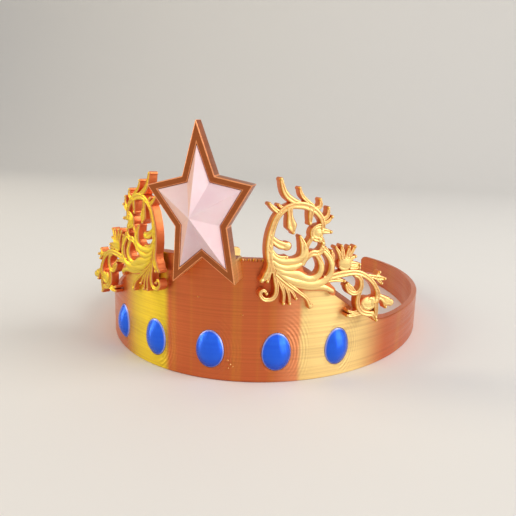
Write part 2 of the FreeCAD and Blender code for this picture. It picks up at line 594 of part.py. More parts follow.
def scroll_panel():
    leaves = [leaf_face(stations) for stations in LEAVES.values()]
    leaves += [boss_face(*boss) for boss in BOSSES]
    leaves.append(broad_face())
    veins = [leaf_face(stations) for stations in VEINS.values()]
    crest = size("scroll_crest")
    body = joined(leaves).extrude(FreeCAD.Vector(0, size("scroll_leaf"), 0))
    body.translate(FreeCAD.Vector(0, crest, 0))
    ridges = joined(veins).extrude(FreeCAD.Vector(0, crest, 0))
    panel = doc.addObject("Part::Feature", "scroll_panel")
    panel.Shape = body.fuse(ridges)
    turn = math.radians(size("scroll_turn"))
    outward = FreeCAD.Vector(math.sin(turn), -math.cos(turn), 0)
    spin = FreeCAD.Rotation(FreeCAD.Vector(0, 0, 1), size("scroll_turn"))
    # the panel's front stands proud of the band's tangent plane on that side
    tangent = math.hypot(size("half_width") * math.sin(turn), size("front_reach") * math.cos(turn))
    panel.Placement = FreeCAD.Placement(outward * (tangent + size("scroll_proud")), spin)
    return panel


# Whole crown

half = fuse("band_quarters", [front_half(), rear_half()])
doc.recompute()
band_half = rounded_half(half)
panel = scroll_panel()
outline = star_sketch()
sideways = FreeCAD.Vector(1, 0, 0)
other_half = make("Part::Mirroring", "other_half", Source=band_half, Normal=sideways)
other_panel = make("Part::Mirroring", "other_panel", Source=panel, Normal=sideways)
blank = fuse("crown_blank", [band_half, other_half, star_frame(outline)])

form = gem_form()
hollow = egg_column("socket_form", "sizes.gem_seat", " + sizes.gem_clearance")
gems = []
sockets = []
for slot, name in zip(GEM_SLOTS, GEM_NAMES):
    gem = make("Part::Compound", name, Links=[form])
    socket = make("Part::Compound", name + "_socket", Links=[hollow])
    for obj in (gem, socket):
        obj.Placement = gem_placement(slot)
    gems.append(gem)
    sockets.append(socket)
gem_sockets = make("Part::Compound", "gem_sockets", Links=sockets)
socketed = boolean("Cut", "crown_socketed", blank, gem_sockets)
crown = make("Part::MultiFuse", "crown_body", Shapes=[socketed, panel, other_panel])
insert = star_insert(outline)
doc.recompute()

# The origin goes to the middle of the whole part's base.
finished = [crown, insert] + gems
box = FreeCAD.BoundBox()
for obj in finished:
    box.add(obj.Shape.BoundBox)
shift = FreeCAD.Placement(FreeCAD.Vector(-box.Center.x, -box.Center.y, -box.ZMin), FreeCAD.Rotation())
for obj in finished:
    obj.Placement = shift * obj.Placement
doc.recompute()

for obj in doc.Objects:
    if "Invalid" in obj.State or "Error" in obj.State:
        raise RuntimeError("%s did not build" % obj.Name)
for obj in finished:
    if obj.Shape.isNull() or not obj.Shape.isValid():
        raise RuntimeError("%s has no valid shape" % obj.Name)
    obj.Label = obj.Name
    obj.Shape.exportStep("parts/%s.step" % obj.Label)
    print(obj.Label, "solids", len(obj.Shape.Solids), "volume", round(obj.Shape.Volume, 1))
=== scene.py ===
import bpy
import bmesh
import math
from mathutils import Matrix, Vector


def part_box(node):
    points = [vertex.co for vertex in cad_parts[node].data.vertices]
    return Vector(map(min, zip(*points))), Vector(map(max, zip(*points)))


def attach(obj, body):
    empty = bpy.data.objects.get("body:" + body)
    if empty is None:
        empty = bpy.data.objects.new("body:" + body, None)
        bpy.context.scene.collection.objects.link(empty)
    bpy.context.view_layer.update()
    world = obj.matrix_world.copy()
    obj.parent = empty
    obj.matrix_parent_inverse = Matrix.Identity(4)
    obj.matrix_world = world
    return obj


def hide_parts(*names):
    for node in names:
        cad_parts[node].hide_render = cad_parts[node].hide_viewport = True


# A silk-plastic tiara: head band, framed star, two pierced acanthus scrolls and five gems.

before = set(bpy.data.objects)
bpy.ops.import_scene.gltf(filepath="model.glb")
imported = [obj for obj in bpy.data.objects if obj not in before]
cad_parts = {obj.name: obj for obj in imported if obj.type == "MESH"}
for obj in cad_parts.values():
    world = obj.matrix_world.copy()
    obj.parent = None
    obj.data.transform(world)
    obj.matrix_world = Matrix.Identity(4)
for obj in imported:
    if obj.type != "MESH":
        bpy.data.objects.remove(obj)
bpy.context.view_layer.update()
_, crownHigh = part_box("crown_body")
mm = 0.001
quarterTurn = 0.25

# Mesh helpers


def newMesh(name, points, faces):
    mesh = bpy.data.meshes.new(name)
    mesh.from_pydata([tuple(point) for point in points], [], faces)
    mesh.update()
    return mesh


def newPiece(name, mesh, material):
    piece = bpy.data.objects.new(name, mesh)
    bpy.context.scene.collection.objects.link(piece)
    piece.data.materials.clear()
    piece.data.materials.append(material)
    return piece


def outwards(mesh):
    # merges doubles and turns every face outwards
    work = bmesh.new()
    work.from_mesh(mesh)
    bmesh.ops.remove_doubles(work, verts=work.verts, dist=0.000001)
    bmesh.ops.recalc_face_normals(work, faces=work.faces)
    work.to_mesh(mesh)
    work.free()


def applied(piece):
    # bakes a piece's modifiers into its mesh
    bpy.context.view_layer.update()
    graph = bpy.context.evaluated_depsgraph_get()
    result = bpy.data.meshes.new_from_object(piece.evaluated_get(graph))
    piece.modifiers.clear()
    old = piece.data
    piece.data = result
    if isinstance(old, bpy.types.Mesh):
        bpy.data.meshes.remove(old)
    return piece


def smoothed(piece, degrees):
    mesh = piece.data
    mesh.shade_smooth()
    mesh.set_sharp_from_angle(angle=math.radians(degrees))
    return piece


def bevelled(piece, width, edgeMaterial=None):
    bevel = piece.modifiers.new("edge round", "BEVEL")
    bevel.width = width
    if edgeMaterial:
        piece.data.materials.append(edgeMaterial)
        bevel.material = 1
    bevel.segments = 2
    bevel.limit_method = "ANGLE"
    bevel.angle_limit = math.radians(25)
    return applied(piece)


def prism(name, outline, nearDepth, farDepth):
    # a flat outline of (across, up) points drawn out along +Y
    count = len(outline)
    points = [(x, nearDepth, z) for x, z in outline] + [(x, farDepth, z) for x, z in outline]
    faces = [tuple(range(count)), tuple(reversed(range(count, 2 * count)))]
    for step in range(count):
        after = (step + 1) % count
        faces.append((step, step + count, after + count, after))
    mesh = newMesh(name, points, faces)
    outwards(mesh)
    return mesh


# Sizes that both the gems and the band's finish need

gem = {
    "nodes": ("gem_far_left", "gem_left", "gem_centre", "gem_right", "gem_far_right"),
    "pitch": 22.8 * mm,
    "centreHeight": 10.5 * mm,
    "halfWidth": 5.0 * mm,
    "upper": 7.3 * mm,
    "lower": 6.1 * mm,
    "depth": 2.3 * mm,
    "seat": 1.4 * mm,
    "clearance": 0.15 * mm,
    "turns": 72,
    "rings": 18,
    "domePower": 2.3,
    "walkSteps": 2000,
}

# Materials


class Tree:
    # a short way to write shader and geometry nodes
    def __init__(self, tree):
        self.tree = tree

    def add(self, kind, inputs=None, **settings):
        node = self.tree.nodes.new(kind)
        for name, value in settings.items():
            setattr(node, name, value)
        for key, value in (inputs or {}).items():
            if isinstance(value, bpy.types.NodeSocket):
                self.tree.links.new(value, node.inputs[key])
            else:
                node.inputs[key].default_value = value
        return node

    def math(self, operation, first, second=0.0, third=None):
        inputs = {0: first, 1: second}
        if third is not None:
            inputs[2] = third
        return self.add("ShaderNodeMath", inputs, operation=operation).outputs[0]

    def mix(self, factor, first, second):
        inputs = {0: factor, 6: first, 7: second}
        return self.add("ShaderNodeMix", inputs, data_type="RGBA").outputs[2]

    def ramp(self, value, low, high, start=0.0, end=1.0):
        inputs = {0: value, 1: low, 2: high, 3: start, 4: end}
        return self.add("ShaderNodeMapRange", inputs, interpolation_type="SMOOTHSTEP").outputs[0]

    def link(self, first, second):
        self.tree.links.new(first, second)


def newMaterial(name):
    material = bpy.data.materials.new(name)
    material.use_nodes = True
    tree = Tree(material.node_tree)
    surface = material.node_tree.nodes["Principled BSDF"]
    return material, tree, surface


def layerLines(tree, place, layer, waver):
    # level print layers: a rounded ridge for each, a little uneven from one to the next
    height = tree.add("ShaderNodeSeparateXYZ", {0: place}).outputs[2]
    squash = tree.add("ShaderNodeMapping", {"Vector": place, "Scale": (9.0, 9.0, 900.0)})
    uneven = tree.add("ShaderNodeTexNoise", {"Vector": squash.outputs[0], "Scale": 1.0, "Detail": 2.0})
    shifted = tree.math("MULTIPLY_ADD", uneven.outputs[0], waver, height)
    phase = tree.math("FRACT", tree.math("DIVIDE", shifted, layer))
    ridge = tree.math("SINE", tree.math("MULTIPLY", phase, math.pi))
    return ridge, uneven.outputs[0]


silk = {
    "copper": (0.68, 0.155, 0.045, 1),
    "shade": (0.30, 0.050, 0.014, 1),
    # painted highlight colour, for the star's bevelled edges and the orange-lit walls
    "highlightCopper": (0.95, 0.38, 0.17, 1),
    "starCopper": (0.40, 0.10, 0.024, 1),
    "gold": (0.88, 0.64, 0.03, 1),
    "paleGold": (0.98, 0.70, 0.27, 1),
    # painted shade colour for the scroll relief's grooves and side walls
    "wall": (0.78, 0.19, 0.055, 1),
    # the way a wall faces, in degrees round from the front: start, full, still full, end of each painted
    # highlight zone
    "goldHighlightZone": (-44.0, -31.0, -19.0, -16.0),
    "orangeHighlightZone": (20.0, 29.5, 31.0, 33.0),
    "paleHighlightZone": (29.5, 31.5, 48.5, 62.0),
    "carvedGoldHighlight": (-85.0, -60.0, -14.0, 0.0),
    "carvedPaleHighlight": (0.0, 12.0, 60.0, 85.0),
    "starPaleHighlight": (60.0, 70.0, 115.0, 125.0),
    "starPaleHighlightTop": 42.0 * mm,
    "starPaleHighlightFade": 5.0 * mm,
    "orangeHighlightShare": 0.7,
    "sheenStreak": 0.16,
    "sheenStreaksPerRound": 60.0,
    "crestToWallShade": (0.80, 0.28, 0.92),
    "metallic": 0.72,
    "roughness": 0.34,
    "anisotropic": 0.8,
    "layer": 0.2 * mm,
    "waver": 0.05 * mm,
    "ridgeBump": 0.18,
    "toneWander": 0.24,
    "rippleBump": 0.5,
    "rippleLength": 1.1 * mm,
    "rippleFade": 3.2 * mm,
}


def zoneShare(tree, facing, zone):
    # 1 where a wall faces inside the zone, falling to 0 at either side
    start, full, still, end = zone
    return tree.math("MULTIPLY", tree.ramp(facing, start, full), tree.ramp(facing, end, still))


def gemRipple(tree, place):
    # print ripples that fade away to the right of each gem, along the band's own length
    along = tree.add("ShaderNodeAttribute", attribute_name="along").outputs["Fac"]
    pitch, middle = gem["pitch"], gem["pitch"] / 2
    height = tree.add("ShaderNodeSeparateXYZ", {0: place}).outputs[2]
    wrapped = tree.math("WRAP", along, middle, -middle)
    across = tree.math("DIVIDE", wrapped, gem["halfWidth"])
    lifted = tree.math("SUBTRACT", height, gem["centreHeight"])
    up = tree.math("DIVIDE", lifted, (gem["upper"] + gem["lower"]) / 2)
    squares = tree.math("ADD", tree.math("MULTIPLY", across, across), tree.math("MULTIPLY", up, up))
    reach = tree.math("SQRT", squares)
    gap = tree.math("MULTIPLY", tree.math("SUBTRACT", reach, 1.0), gem["halfWidth"])
    wave = tree.math("SINE", tree.math("MULTIPLY", gap, 2 * math.pi / silk["rippleLength"]))
    fade = tree.math("POWER", math.e, tree.math("DIVIDE", gap, -silk["rippleFade"]))
    side = tree.math("MULTIPLY", tree.ramp(across, 0.1, 0.8), tree.ramp(gap, 0.0, 0.3 * mm))
    row = tree.math("LESS_THAN", tree.math("ABSOLUTE", along), 2.5 * pitch)
    return tree.math("MULTIPLY", tree.math("MULTIPLY", wave, fade), tree.math("MULTIPLY", side, row))


def silkCopper(name, carved=False, rippled=False, paintedEdgeHighlight=False, starry=False):
    # silk copper filament with painted highlights: gold, pale gold and orange where the walls face the two
    # side lamps, copper elsewhere
    material, tree, surface = newMaterial(name)
    place = tree.add("ShaderNodeTexCoord").outputs["Object"]
    normal = tree.add("ShaderNodeNewGeometry").outputs["Normal"]
    ridge, uneven = layerLines(tree, place, silk["layer"], silk["waver"])

    wander = tree.add("ShaderNodeMapping", {"Vector": place, "Scale": (14.0, 14.0, 1500.0)})
    tone = tree.add("ShaderNodeTexNoise", {"Vector": wander.outputs[0], "Scale": 1.0, "Detail": 4.0})
    way = tree.add("ShaderNodeSeparateXYZ", {0: normal}).outputs
    turned = tree.math("ARCTAN2", way[0], tree.math("MULTIPLY", way[1], -1.0))
    facing = tree.math("DEGREES", turned)
    # painted sheen: upright gold streaks, from noise that changes only with the way the wall faces
    roundabout = tree.math("MULTIPLY", turned, silk["sheenStreaksPerRound"] / (2 * math.pi))
    sheenPlace = tree.add("ShaderNodeCombineXYZ", {0: roundabout}).outputs[0]
    sheenNoise = tree.add("ShaderNodeTexNoise", {"Vector": sheenPlace, "Scale": 1.0, "Detail": 3.0})
    sheenStreaks = tree.ramp(sheenNoise.outputs[0], 0.45, 0.75, 0.0, silk["sheenStreak"])
    if starry:
        # the star is darker, with a painted highlight on its bevelled edges and a painted pale gold highlight
        # low on its right-facing sides
        colour = tree.mix(sheenStreaks, silk["highlightCopper" if paintedEdgeHighlight else "starCopper"], silk["gold"])
        height = tree.add("ShaderNodeSeparateXYZ", {0: place}).outputs[2]
        low = tree.ramp(height, silk["starPaleHighlightTop"] + silk["starPaleHighlightFade"], silk["starPaleHighlightTop"])
        paleHighlight = tree.math("MULTIPLY", zoneShare(tree, facing, silk["starPaleHighlight"]), low)
    else:
        # painted highlights: orange, gold and pale gold, set by the way each wall faces
        orangeHighlight = zoneShare(tree, facing, silk["orangeHighlightZone"])
        orangeHighlight = tree.math("MULTIPLY", orangeHighlight, silk["orangeHighlightShare"])
        colour = tree.mix(sheenStreaks, tree.mix(orangeHighlight, silk["copper"], silk["highlightCopper"]), silk["gold"])
        goldHighlight = zoneShare(tree, facing, silk["carvedGoldHighlight" if carved else "goldHighlightZone"])
        colour = tree.mix(goldHighlight, colour, silk["gold"])
        paleHighlight = zoneShare(tree, facing, silk["carvedPaleHighlight" if carved else "paleHighlightZone"])
    colour = tree.mix(paleHighlight, colour, silk["paleGold"])
    darker = tree.ramp(tone.outputs[0], 0.35, 0.75, 0.0, silk["toneWander"])
    colour = tree.mix(darker, colour, silk["shade"])
    if carved:
        crest = tree.add("ShaderNodeAttribute", attribute_name="crest").outputs["Fac"]
        # painted shade: where the crest is low, in grooves and on side walls, the colour turns to the darker
        # red wall colour
        high, low, share = silk["crestToWallShade"]
        colour = tree.mix(tree.ramp(crest, high, low, 0.0, share), colour, silk["wall"])
    tree.link(colour, surface.inputs["Base Color"])

    rough = tree.ramp(uneven, 0.3, 0.7, silk["roughness"] - 0.05, silk["roughness"] + 0.06)
    tree.link(rough, surface.inputs["Roughness"])
    surface.inputs["Metallic"].default_value = silk["metallic"]
    if not carved:
        surface.inputs["Anisotropic"].default_value = silk["anisotropic"]
        surface.inputs["Anisotropic Rotation"].default_value = quarterTurn
        tangent = tree.add("ShaderNodeTangent", direction_type="RADIAL", axis="Z")
        tree.link(tangent.outputs[0], surface.inputs["Tangent"])
    bump = tree.add(
        "ShaderNodeBump", {"Strength": silk["ridgeBump"], "Distance": silk["layer"], "Height": ridge}
    )
    if rippled:
        ripple = gemRipple(tree, place)
        bump = tree.add(
            "ShaderNodeBump",
            {"Strength": silk["rippleBump"], "Distance": silk["layer"], "Height": ripple,
             "Normal": bump.outputs[0]},
        )
    tree.link(bump.outputs[0], surface.inputs["Normal"])
    return material


pinkPlastic = {
    "pale": (0.93, 0.72, 0.76, 1),
    "rose": (0.86, 0.52, 0.60, 1),
    "peachReflection": (0.86, 0.47, 0.30, 1),
    "peachReflectionFacing": (-0.35, -0.60),
    "peachReflectionShare": 0.5,
    "roughness": 0.42,
    "layer": 0.2 * mm,
    "waver": 0.04 * mm,
    "ridgeBump": 0.18,
}


def palePink():
    material, tree, surface = newMaterial("palePinkPlastic")
    place = tree.add("ShaderNodeTexCoord").outputs["Object"]
    ridge, uneven = layerLines(tree, place, pinkPlastic["layer"], pinkPlastic["waver"])
    cloud = tree.add("ShaderNodeTexNoise", {"Vector": place, "Scale": 160.0, "Detail": 3.0})
    share = tree.ramp(cloud.outputs[0], 0.3, 0.8, 0.05, 0.4)
    colour = tree.mix(share, pinkPlastic["pale"], pinkPlastic["rose"])
    # painted reflection: facets turned to the left take a peach tint, the copper frame's reflection
    normal = tree.add("ShaderNodeNewGeometry").outputs["Normal"]
    sideways = tree.add("ShaderNodeSeparateXYZ", {0: normal}).outputs[0]
    start, full = pinkPlastic["peachReflectionFacing"]
    peachReflection = tree.ramp(sideways, start, full, 0.0, pinkPlastic["peachReflectionShare"])
    tree.link(tree.mix(peachReflection, colour, pinkPlastic["peachReflection"]), surface.inputs["Base Color"])
    low = pinkPlastic["roughness"]
    tree.link(tree.ramp(uneven, 0.3, 0.7, low - 0.05, low + 0.08), surface.inputs["Roughness"])
    surface.inputs["Subsurface Weight"].default_value = 0.1
    surface.inputs["Subsurface Radius"].default_value = (0.003, 0.0015, 0.001)
    bump = tree.add(
        "ShaderNodeBump",
        {"Strength": pinkPlastic["ridgeBump"], "Distance": pinkPlastic["layer"], "Height": ridge},
    )
    tree.link(bump.outputs[0], surface.inputs["Normal"])
    return material


gemPlastic = {
    "blue": (0.02, 0.15, 1.0, 1),
    "deep": (0.004, 0.06, 0.80, 1),
    # painted edge highlight: a pale ring round each gem's edge
    "rim": (0.50, 0.52, 0.95, 1),
    "metallic": 0.65,
    "roughness": 0.2,
    "anisotropic": 0.8,
    "layer": 0.2 * mm,
    "waver": 0.04 * mm,
    "ridgeBump": 0.25,
}


def gemBlue():
    material, tree, surface = newMaterial("gemBlueSilk")
    place = tree.add("ShaderNodeTexCoord").outputs["Object"]
    ridge, uneven = layerLines(tree, place, gemPlastic["layer"], gemPlastic["waver"])
    colour = tree.mix(tree.ramp(uneven, 0.3, 0.75, 0.0, 0.3), gemPlastic["blue"], gemPlastic["deep"])
    rim = tree.add("ShaderNodeAttribute", attribute_name="rim").outputs["Fac"]
    # painted edge highlight on the gem's outer ring
    colour = tree.mix(tree.ramp(rim, 0.91, 0.99, 0.0, 0.8), colour, gemPlastic["rim"])
    tree.link(colour, surface.inputs["Base Color"])
    low = gemPlastic["roughness"]
    tree.link(tree.ramp(uneven, 0.3, 0.7, low - 0.04, low + 0.06), surface.inputs["Roughness"])
    surface.inputs["Metallic"].default_value = gemPlastic["metallic"]
    surface.inputs["Anisotropic"].default_value = gemPlastic["anisotropic"]
    surface.inputs["Anisotropic Rotation"].default_value = quarterTurn
    tangent = tree.add("ShaderNodeTangent", direction_type="RADIAL", axis="Z")
    tree.link(tangent.outputs[0], surface.inputs["Tangent"])
    bump = tree.add(
        "ShaderNodeBump",
        {"Strength": gemPlastic["ridgeBump"], "Distance": gemPlastic["layer"], "Height": ridge},
    )
    tree.link(bump.outputs[0], surface.inputs["Normal"])
    return material


bandSilk = silkCopper("silkCopperBand", rippled=True)
scrollSilk = silkCopper("silkCopperScroll", carved=True)
starSilk = silkCopper("silkCopperStar", starry=True)
# painted highlight on the star's bevelled edges
edgeHighlightSilk = silkCopper("silkCopperEdgeHighlight", paintedEdgeHighlight=True, starry=True)
pinkMaterial = palePink()
gemMaterial = gemBlue()
print("materials ready")

# Head band

band = {
    "halfWidth": crownHigh.x,
    "frontReach": 89.0 * mm,
    "rearReach": 102.0 * mm,
    "sideWall": 2.4 * mm,
    "frontWall": 5.0 * mm,
    "frontHeight": 42.7 * mm,
    "strapHeight": 17.0 * mm,
    "endHeight": 14.0 * mm,
    "endAngle": math.radians(54.0),
    "endRound": 3.5 * mm,
    "plateauHalf": 18.2 * mm,
    "slope": math.radians(43.0),
    "shoulderRound": 20.0 * mm,
    "footRound": 12.0 * mm,
    "edge": 0.35 * mm,
    "crowding": 0.6,
    "stations": 420,
    "rows": 14,
}
# the middle of the band's widest section, found from the strap's rearmost corner
ringY = crownHigh.y - band["rearReach"] * math.sin(band["endAngle"])


def frontTop(x):
    # height of the front's top edge at a distance from the middle: plateau, arc, slope, arc, strap
    x = abs(x)
    slope = band["slope"]
    high, low = band["frontHeight"], band["strapHeight"]
    topRound, footRound = band["shoulderRound"], band["footRound"]
    arcEnd = band["plateauHalf"] + topRound * math.sin(slope)
    arcDrop = topRound * (1 - math.cos(slope))
    ramp = (high - low - arcDrop - footRound * (1 - math.cos(slope))) / math.tan(slope)
    lineEnd = arcEnd + ramp
    footEnd = lineEnd + footRound * math.sin(slope)
    if x < band["plateauHalf"]:
        return high
    if x < arcEnd:
        return high - topRound + math.sqrt(topRound**2 - (x - band["plateauHalf"]) ** 2)
    if x < lineEnd:
        return high - arcDrop - (x - arcEnd) * math.tan(slope)
    if x < footEnd:
        return low + footRound - math.sqrt(footRound**2 - (footEnd - x) ** 2)
    return low


def ringPoint(angle, inset):
    # a point of the band's plan; inset 0 is the outer face and 1 the inner one
    half = band["halfWidth"] - inset * band["sideWall"]
    if math.cos(angle) >= 0:
        return half * math.sin(angle), -(band["frontReach"] - inset * band["frontWall"]) * math.cos(angle)
    return half * math.sin(angle), -(band["rearReach"] - inset * band["sideWall"]) * math.cos(angle)


def strapTop(x, y, corner, run):
    if y < 0:
        return frontTop(x)
    fall = (band["strapHeight"] - band["endHeight"]) / math.sin(band["endAngle"])
    top = band["strapHeight"] - fall * y / band["rearReach"]
    left = max(0.0, (corner[0] - abs(x)) * run[0] + (corner[1] - y) * run[1])
    if left < band["endRound"]:
        radius = band["endRound"]
        top -= radius - math.sqrt(radius**2 - (radius - left) ** 2)
    return top


def bandMesh():
    turn = band["endAngle"]
    corner = (band["halfWidth"] * math.cos(turn), band["rearReach"] * math.sin(turn))
    run = Vector((-band["halfWidth"] * math.sin(turn), band["rearReach"] * math.cos(turn))).normalized()
    last = math.pi / 2 + turn
    edge, rows = band["edge"], band["rows"]
    points, faces, lengths = [], [], []
    length, previous = 0.0, None
    for station in range(band["stations"] + 1):
        share = 2 * station / band["stations"] - 1
        # stations crowd towards the strap's ends, where its corner is rounded
        crowded = math.sin(abs(share) * math.pi / 2)
        pace = crowded * band["crowding"] + abs(share) * (1 - band["crowding"])
        angle = last * math.copysign(pace, share)
        outer = Vector(ringPoint(angle, 0))
        inner = Vector(ringPoint(angle, 1))
        wall = (inner - outer).length
        loop = []
        for flat, steps in ((outer, range(rows + 1)), (inner, range(rows, -1, -1))):
            top = strapTop(flat.x, flat.y, corner, run)
            for step in steps:
                loop.append((flat, edge + (top - 2 * edge) * step / rows))
            nearer, farther = (outer, inner) if flat is outer else (inner, outer)
            rim = nearer.lerp(farther, edge / wall)
            if flat is outer:
                loop.append((rim, top))
                far = inner.lerp(outer, edge / wall)
                loop.append((far, strapTop(far.x, far.y, corner, run)))
            else:
                loop.append((rim, 0.0))
                loop.append((outer.lerp(inner, edge / wall), 0.0))
        points += [(flat.x, flat.y + ringY, height) for flat, height in loop]
        size = len(loop)
        length += (outer - previous).length if previous else 0.0
        previous = outer
        lengths += [length] * size
    for station in range(band["stations"]):
        for step in range(size):
            after = (step + 1) % size
            start, end = station * size, (station + 1) * size
            faces.append((start + step, start + after, end + after, end + step))
    finish = band["stations"] * size
    faces.append(tuple(range(size)))
    faces.append(tuple(finish + step for step in reversed(range(size))))
    mesh = newMesh("band", points, faces)
    # how far each point lies round the band from the middle of the front
    layer = mesh.attributes.new("along", "FLOAT", "POINT")
    layer.data.foreach_set("value", [value - length / 2 for value in lengths])
    outwards(mesh)
    return mesh


# Gems


def gemPlace(slot):
    # where a gem sits round the front and which way it faces
    angle = 0.0
    for _ in range(gem["walkSteps"]):
        pace = math.hypot(band["halfWidth"] * math.cos(angle), band["frontReach"] * math.sin(angle))
        angle += slot * gem["pitch"] / gem["walkSteps"] / pace
    spot = Vector(
        (
            band["halfWidth"] * math.sin(angle),
            ringY - band["frontReach"] * math.cos(angle),
            gem["centreHeight"],
        )
    )
    facing = math.atan2(math.sin(angle) / band["halfWidth"], math.cos(angle) / band["frontReach"])
    return Matrix.Translation(spot) @ Matrix.Rotation(facing, 4, "Z")


def eggPoint(turn, grow):
    up = math.cos(turn)
    tall = gem["upper"] if up > 0 else gem["lower"]
    return (gem["halfWidth"] + grow) * math.sin(turn), (tall + grow) * up


def socketColumn(name):
    outline = [eggPoint(2 * math.pi * step / gem["turns"], gem["clearance"]) for step in range(gem["turns"])]
    return prism(name, outline, -gem["depth"], gem["seat"])


def gemMesh(name):
    # a domed egg with an upright skirt that goes down into its socket
    turns, rings = gem["turns"], gem["rings"]
    points, faces, rims = [], [], []
    for ring in range(1, rings + 1):
        share = math.sin(ring / rings * math.pi / 2)
        lift = gem["depth"] * (1 - share ** gem["domePower"])
        for step in range(turns):
            x, z = eggPoint(2 * math.pi * step / turns, 0.0)
            points.append((x * share, -lift, z * share))
            rims.append(share)
    for step in range(turns):
        x, z = eggPoint(2 * math.pi * step / turns, 0.0)
        points.append((x, gem["seat"], z))
        rims.append(1.0)
    points.append((0.0, -gem["depth"], 0.0))
    rims.append(0.0)
    peak = len(points) - 1
    for ring in range(rings):
        for step in range(turns):
            after = (step + 1) % turns
            start, end = ring * turns, (ring + 1) * turns
            faces.append((start + step, start + after, end + after, end + step))
    for step in range(turns):
        faces.append((peak, (step + 1) % turns, step))
    faces.append(tuple(rings * turns + step for step in range(turns)))
    mesh = newMesh(name, points, faces)
    layer = mesh.attributes.new("rim", "FLOAT", "POINT")
    layer.data.foreach_set("value", rims)
    work = bmesh.new()
    work.from_mesh(mesh)
    bmesh.ops.recalc_face_normals(work, faces=work.faces)
    work.to_mesh(mesh)
    work.free()
    return mesh


bandPiece = newPiece("head_band", bandMesh(), bandSilk)
cutters = []
for slot, node in enumerate(gem["nodes"], start=-2):
    mesh = socketColumn(node + "_socket")
    mesh.transform(gemPlace(slot))
    cutters.append(newPiece(node + "_socket", mesh, bandSilk))
for cutter in cutters:
    cut = bandPiece.modifiers.new(cutter.name, "BOOLEAN")
    cut.operation = "DIFFERENCE"
    cut.solver = "EXACT"
    cut.object = cutter
applied(bandPiece)
for cutter in cutters:
    bpy.data.objects.remove(cutter)
smoothed(bandPiece, 30)
print("head band ready")

gemPieces = []
for slot, node in enumerate(gem["nodes"], start=-2):
    mesh = gemMesh(node + "_dome")
    mesh.transform(gemPlace(slot))
    piece = smoothed(newPiece(node + "_dome", mesh, gemMaterial), 50)
    gemPieces.append((piece, node))
print("gems ready")

# Star

star = {
    "halfWidth": 17.9 * mm,
    "halfHeight": 27.9 * mm,
    "notch": 0.5,
    "offset": -0.6 * mm,
    "centreHeight": 58.2 * mm,
    "standoff": 8.8 * mm,
    "plate": 4.8 * mm,
    "border": 2.1 * mm,
    "recess": 2.0 * mm,
    "lean": math.radians(3.5),
    "roll": math.radians(-2.0),
    "blockTop": 42.7 * mm,
    "blockSink": 2.0 * mm,
    "clearance": 0.15 * mm,
    "peak": 9.0 * mm,
    "frameEdge": 0.3 * mm,
    "insertEdge": 0.12 * mm,
}
starPlace = (
    Matrix.Translation((star["offset"], ringY - band["frontReach"] - star["standoff"], star["centreHeight"]))
    @ Matrix.Rotation(star["lean"], 4, "X")
    @ Matrix.Rotation(star["roll"], 4, "Y")
)


def starOutline():
    outline = []
    for step in range(10):
        reach = star["notch"] if step % 2 else 1.0
        turn = math.radians(36 * step)
        outline.append(
            Vector((star["halfWidth"] * reach * math.sin(turn), star["halfHeight"] * reach * math.cos(turn)))
        )
    return outline


def insetOutline(outline, distance):
    # each corner moves to where its two sides meet once both have moved inwards
    result = []
    count = len(outline)
    for step in range(count):
        before, here, after = outline[step - 1], outline[step], outline[(step + 1) % count]
        first, second = (here - before).normalized(), (after - here).normalized()
        firstIn, secondIn = Vector((first.y, -first.x)), Vector((second.y, -second.x))
        middle = (firstIn + secondIn).normalized()
        result.append(here + middle * (distance / middle.dot(firstIn)))
    return result


def starPlateMesh():
    outline = starOutline()
    window = insetOutline(outline, star["border"])
    loops = [(window, star["recess"]), (window, 0.0), (outline, 0.0), (outline, star["plate"])]
    points = [(spot.x, depth, spot.y) for loop, depth in loops for spot in loop]
    faces = [tuple(range(10)), tuple(range(30, 40))]
    for row in range(3):
        for step in range(10):
            after = (step + 1) % 10
            start = row * 10
            faces.append((start + step, start + after, start + 10 + after, start + 10 + step))
    mesh = newMesh("star_frame", points, faces)
    outwards(mesh)
    return mesh


def starFootMesh(name, side):
    # one lower arm, carried back into the band below the band's top edge
    outline = starOutline()
    tip = outline[4] if side > 0 else outline[6]
    level = star["blockTop"] - star["centreHeight"]
    corners = [tip]
    for neighbour in (outline[5], outline[3] if side > 0 else outline[7]):
        share = (level - tip.y) / (neighbour.y - tip.y)
        corners.append(tip.lerp(neighbour, share))
    flat = [(spot.x, spot.y) for spot in corners]
    return prism(name, flat, star["plate"], star["standoff"] + star["blockSink"])


def insertMesh():
    outline = insetOutline(starOutline(), star["border"] + star["clearance"])
    points = [(spot.x, 0.0, spot.y) for spot in outline]
    points += [(spot.x, star["recess"], spot.y) for spot in outline]
    points.append((0.0, -star["peak"], 0.0))
    faces = [tuple(range(10, 20))]
    for step in range(10):
        after = (step + 1) % 10
        faces.append((step, after, after + 10, step + 10))
        faces.append((step, 20, after))
    mesh = newMesh("star_insert_facets", points, faces)
    outwards(mesh)
    return mesh


# Small beads of plastic that the printer left on the band

marks = {
    # angle round the ring in degrees, height or None for the top edge, radius
    "beads": [(7.5, None, 0.45), (8.6, None, 0.6), (9.4, None, 0.4), (10.6, None, 0.55), (12.0, None, 0.7),
              (13.1, None, 0.45), (14.4, None, 0.6), (15.6, None, 0.4), (5.2, 7.6, 0.3), (5.9, 6.2, 0.36),
              (5.4, 4.9, 0.28), (6.6, 5.5, 0.25), (-3.5, 29.0, 0.3), (9.0, 24.0, 0.26), (-1.2, 12.5, 0.25)],
    "stretch": 1.5,
    "sink": 0.02,
}


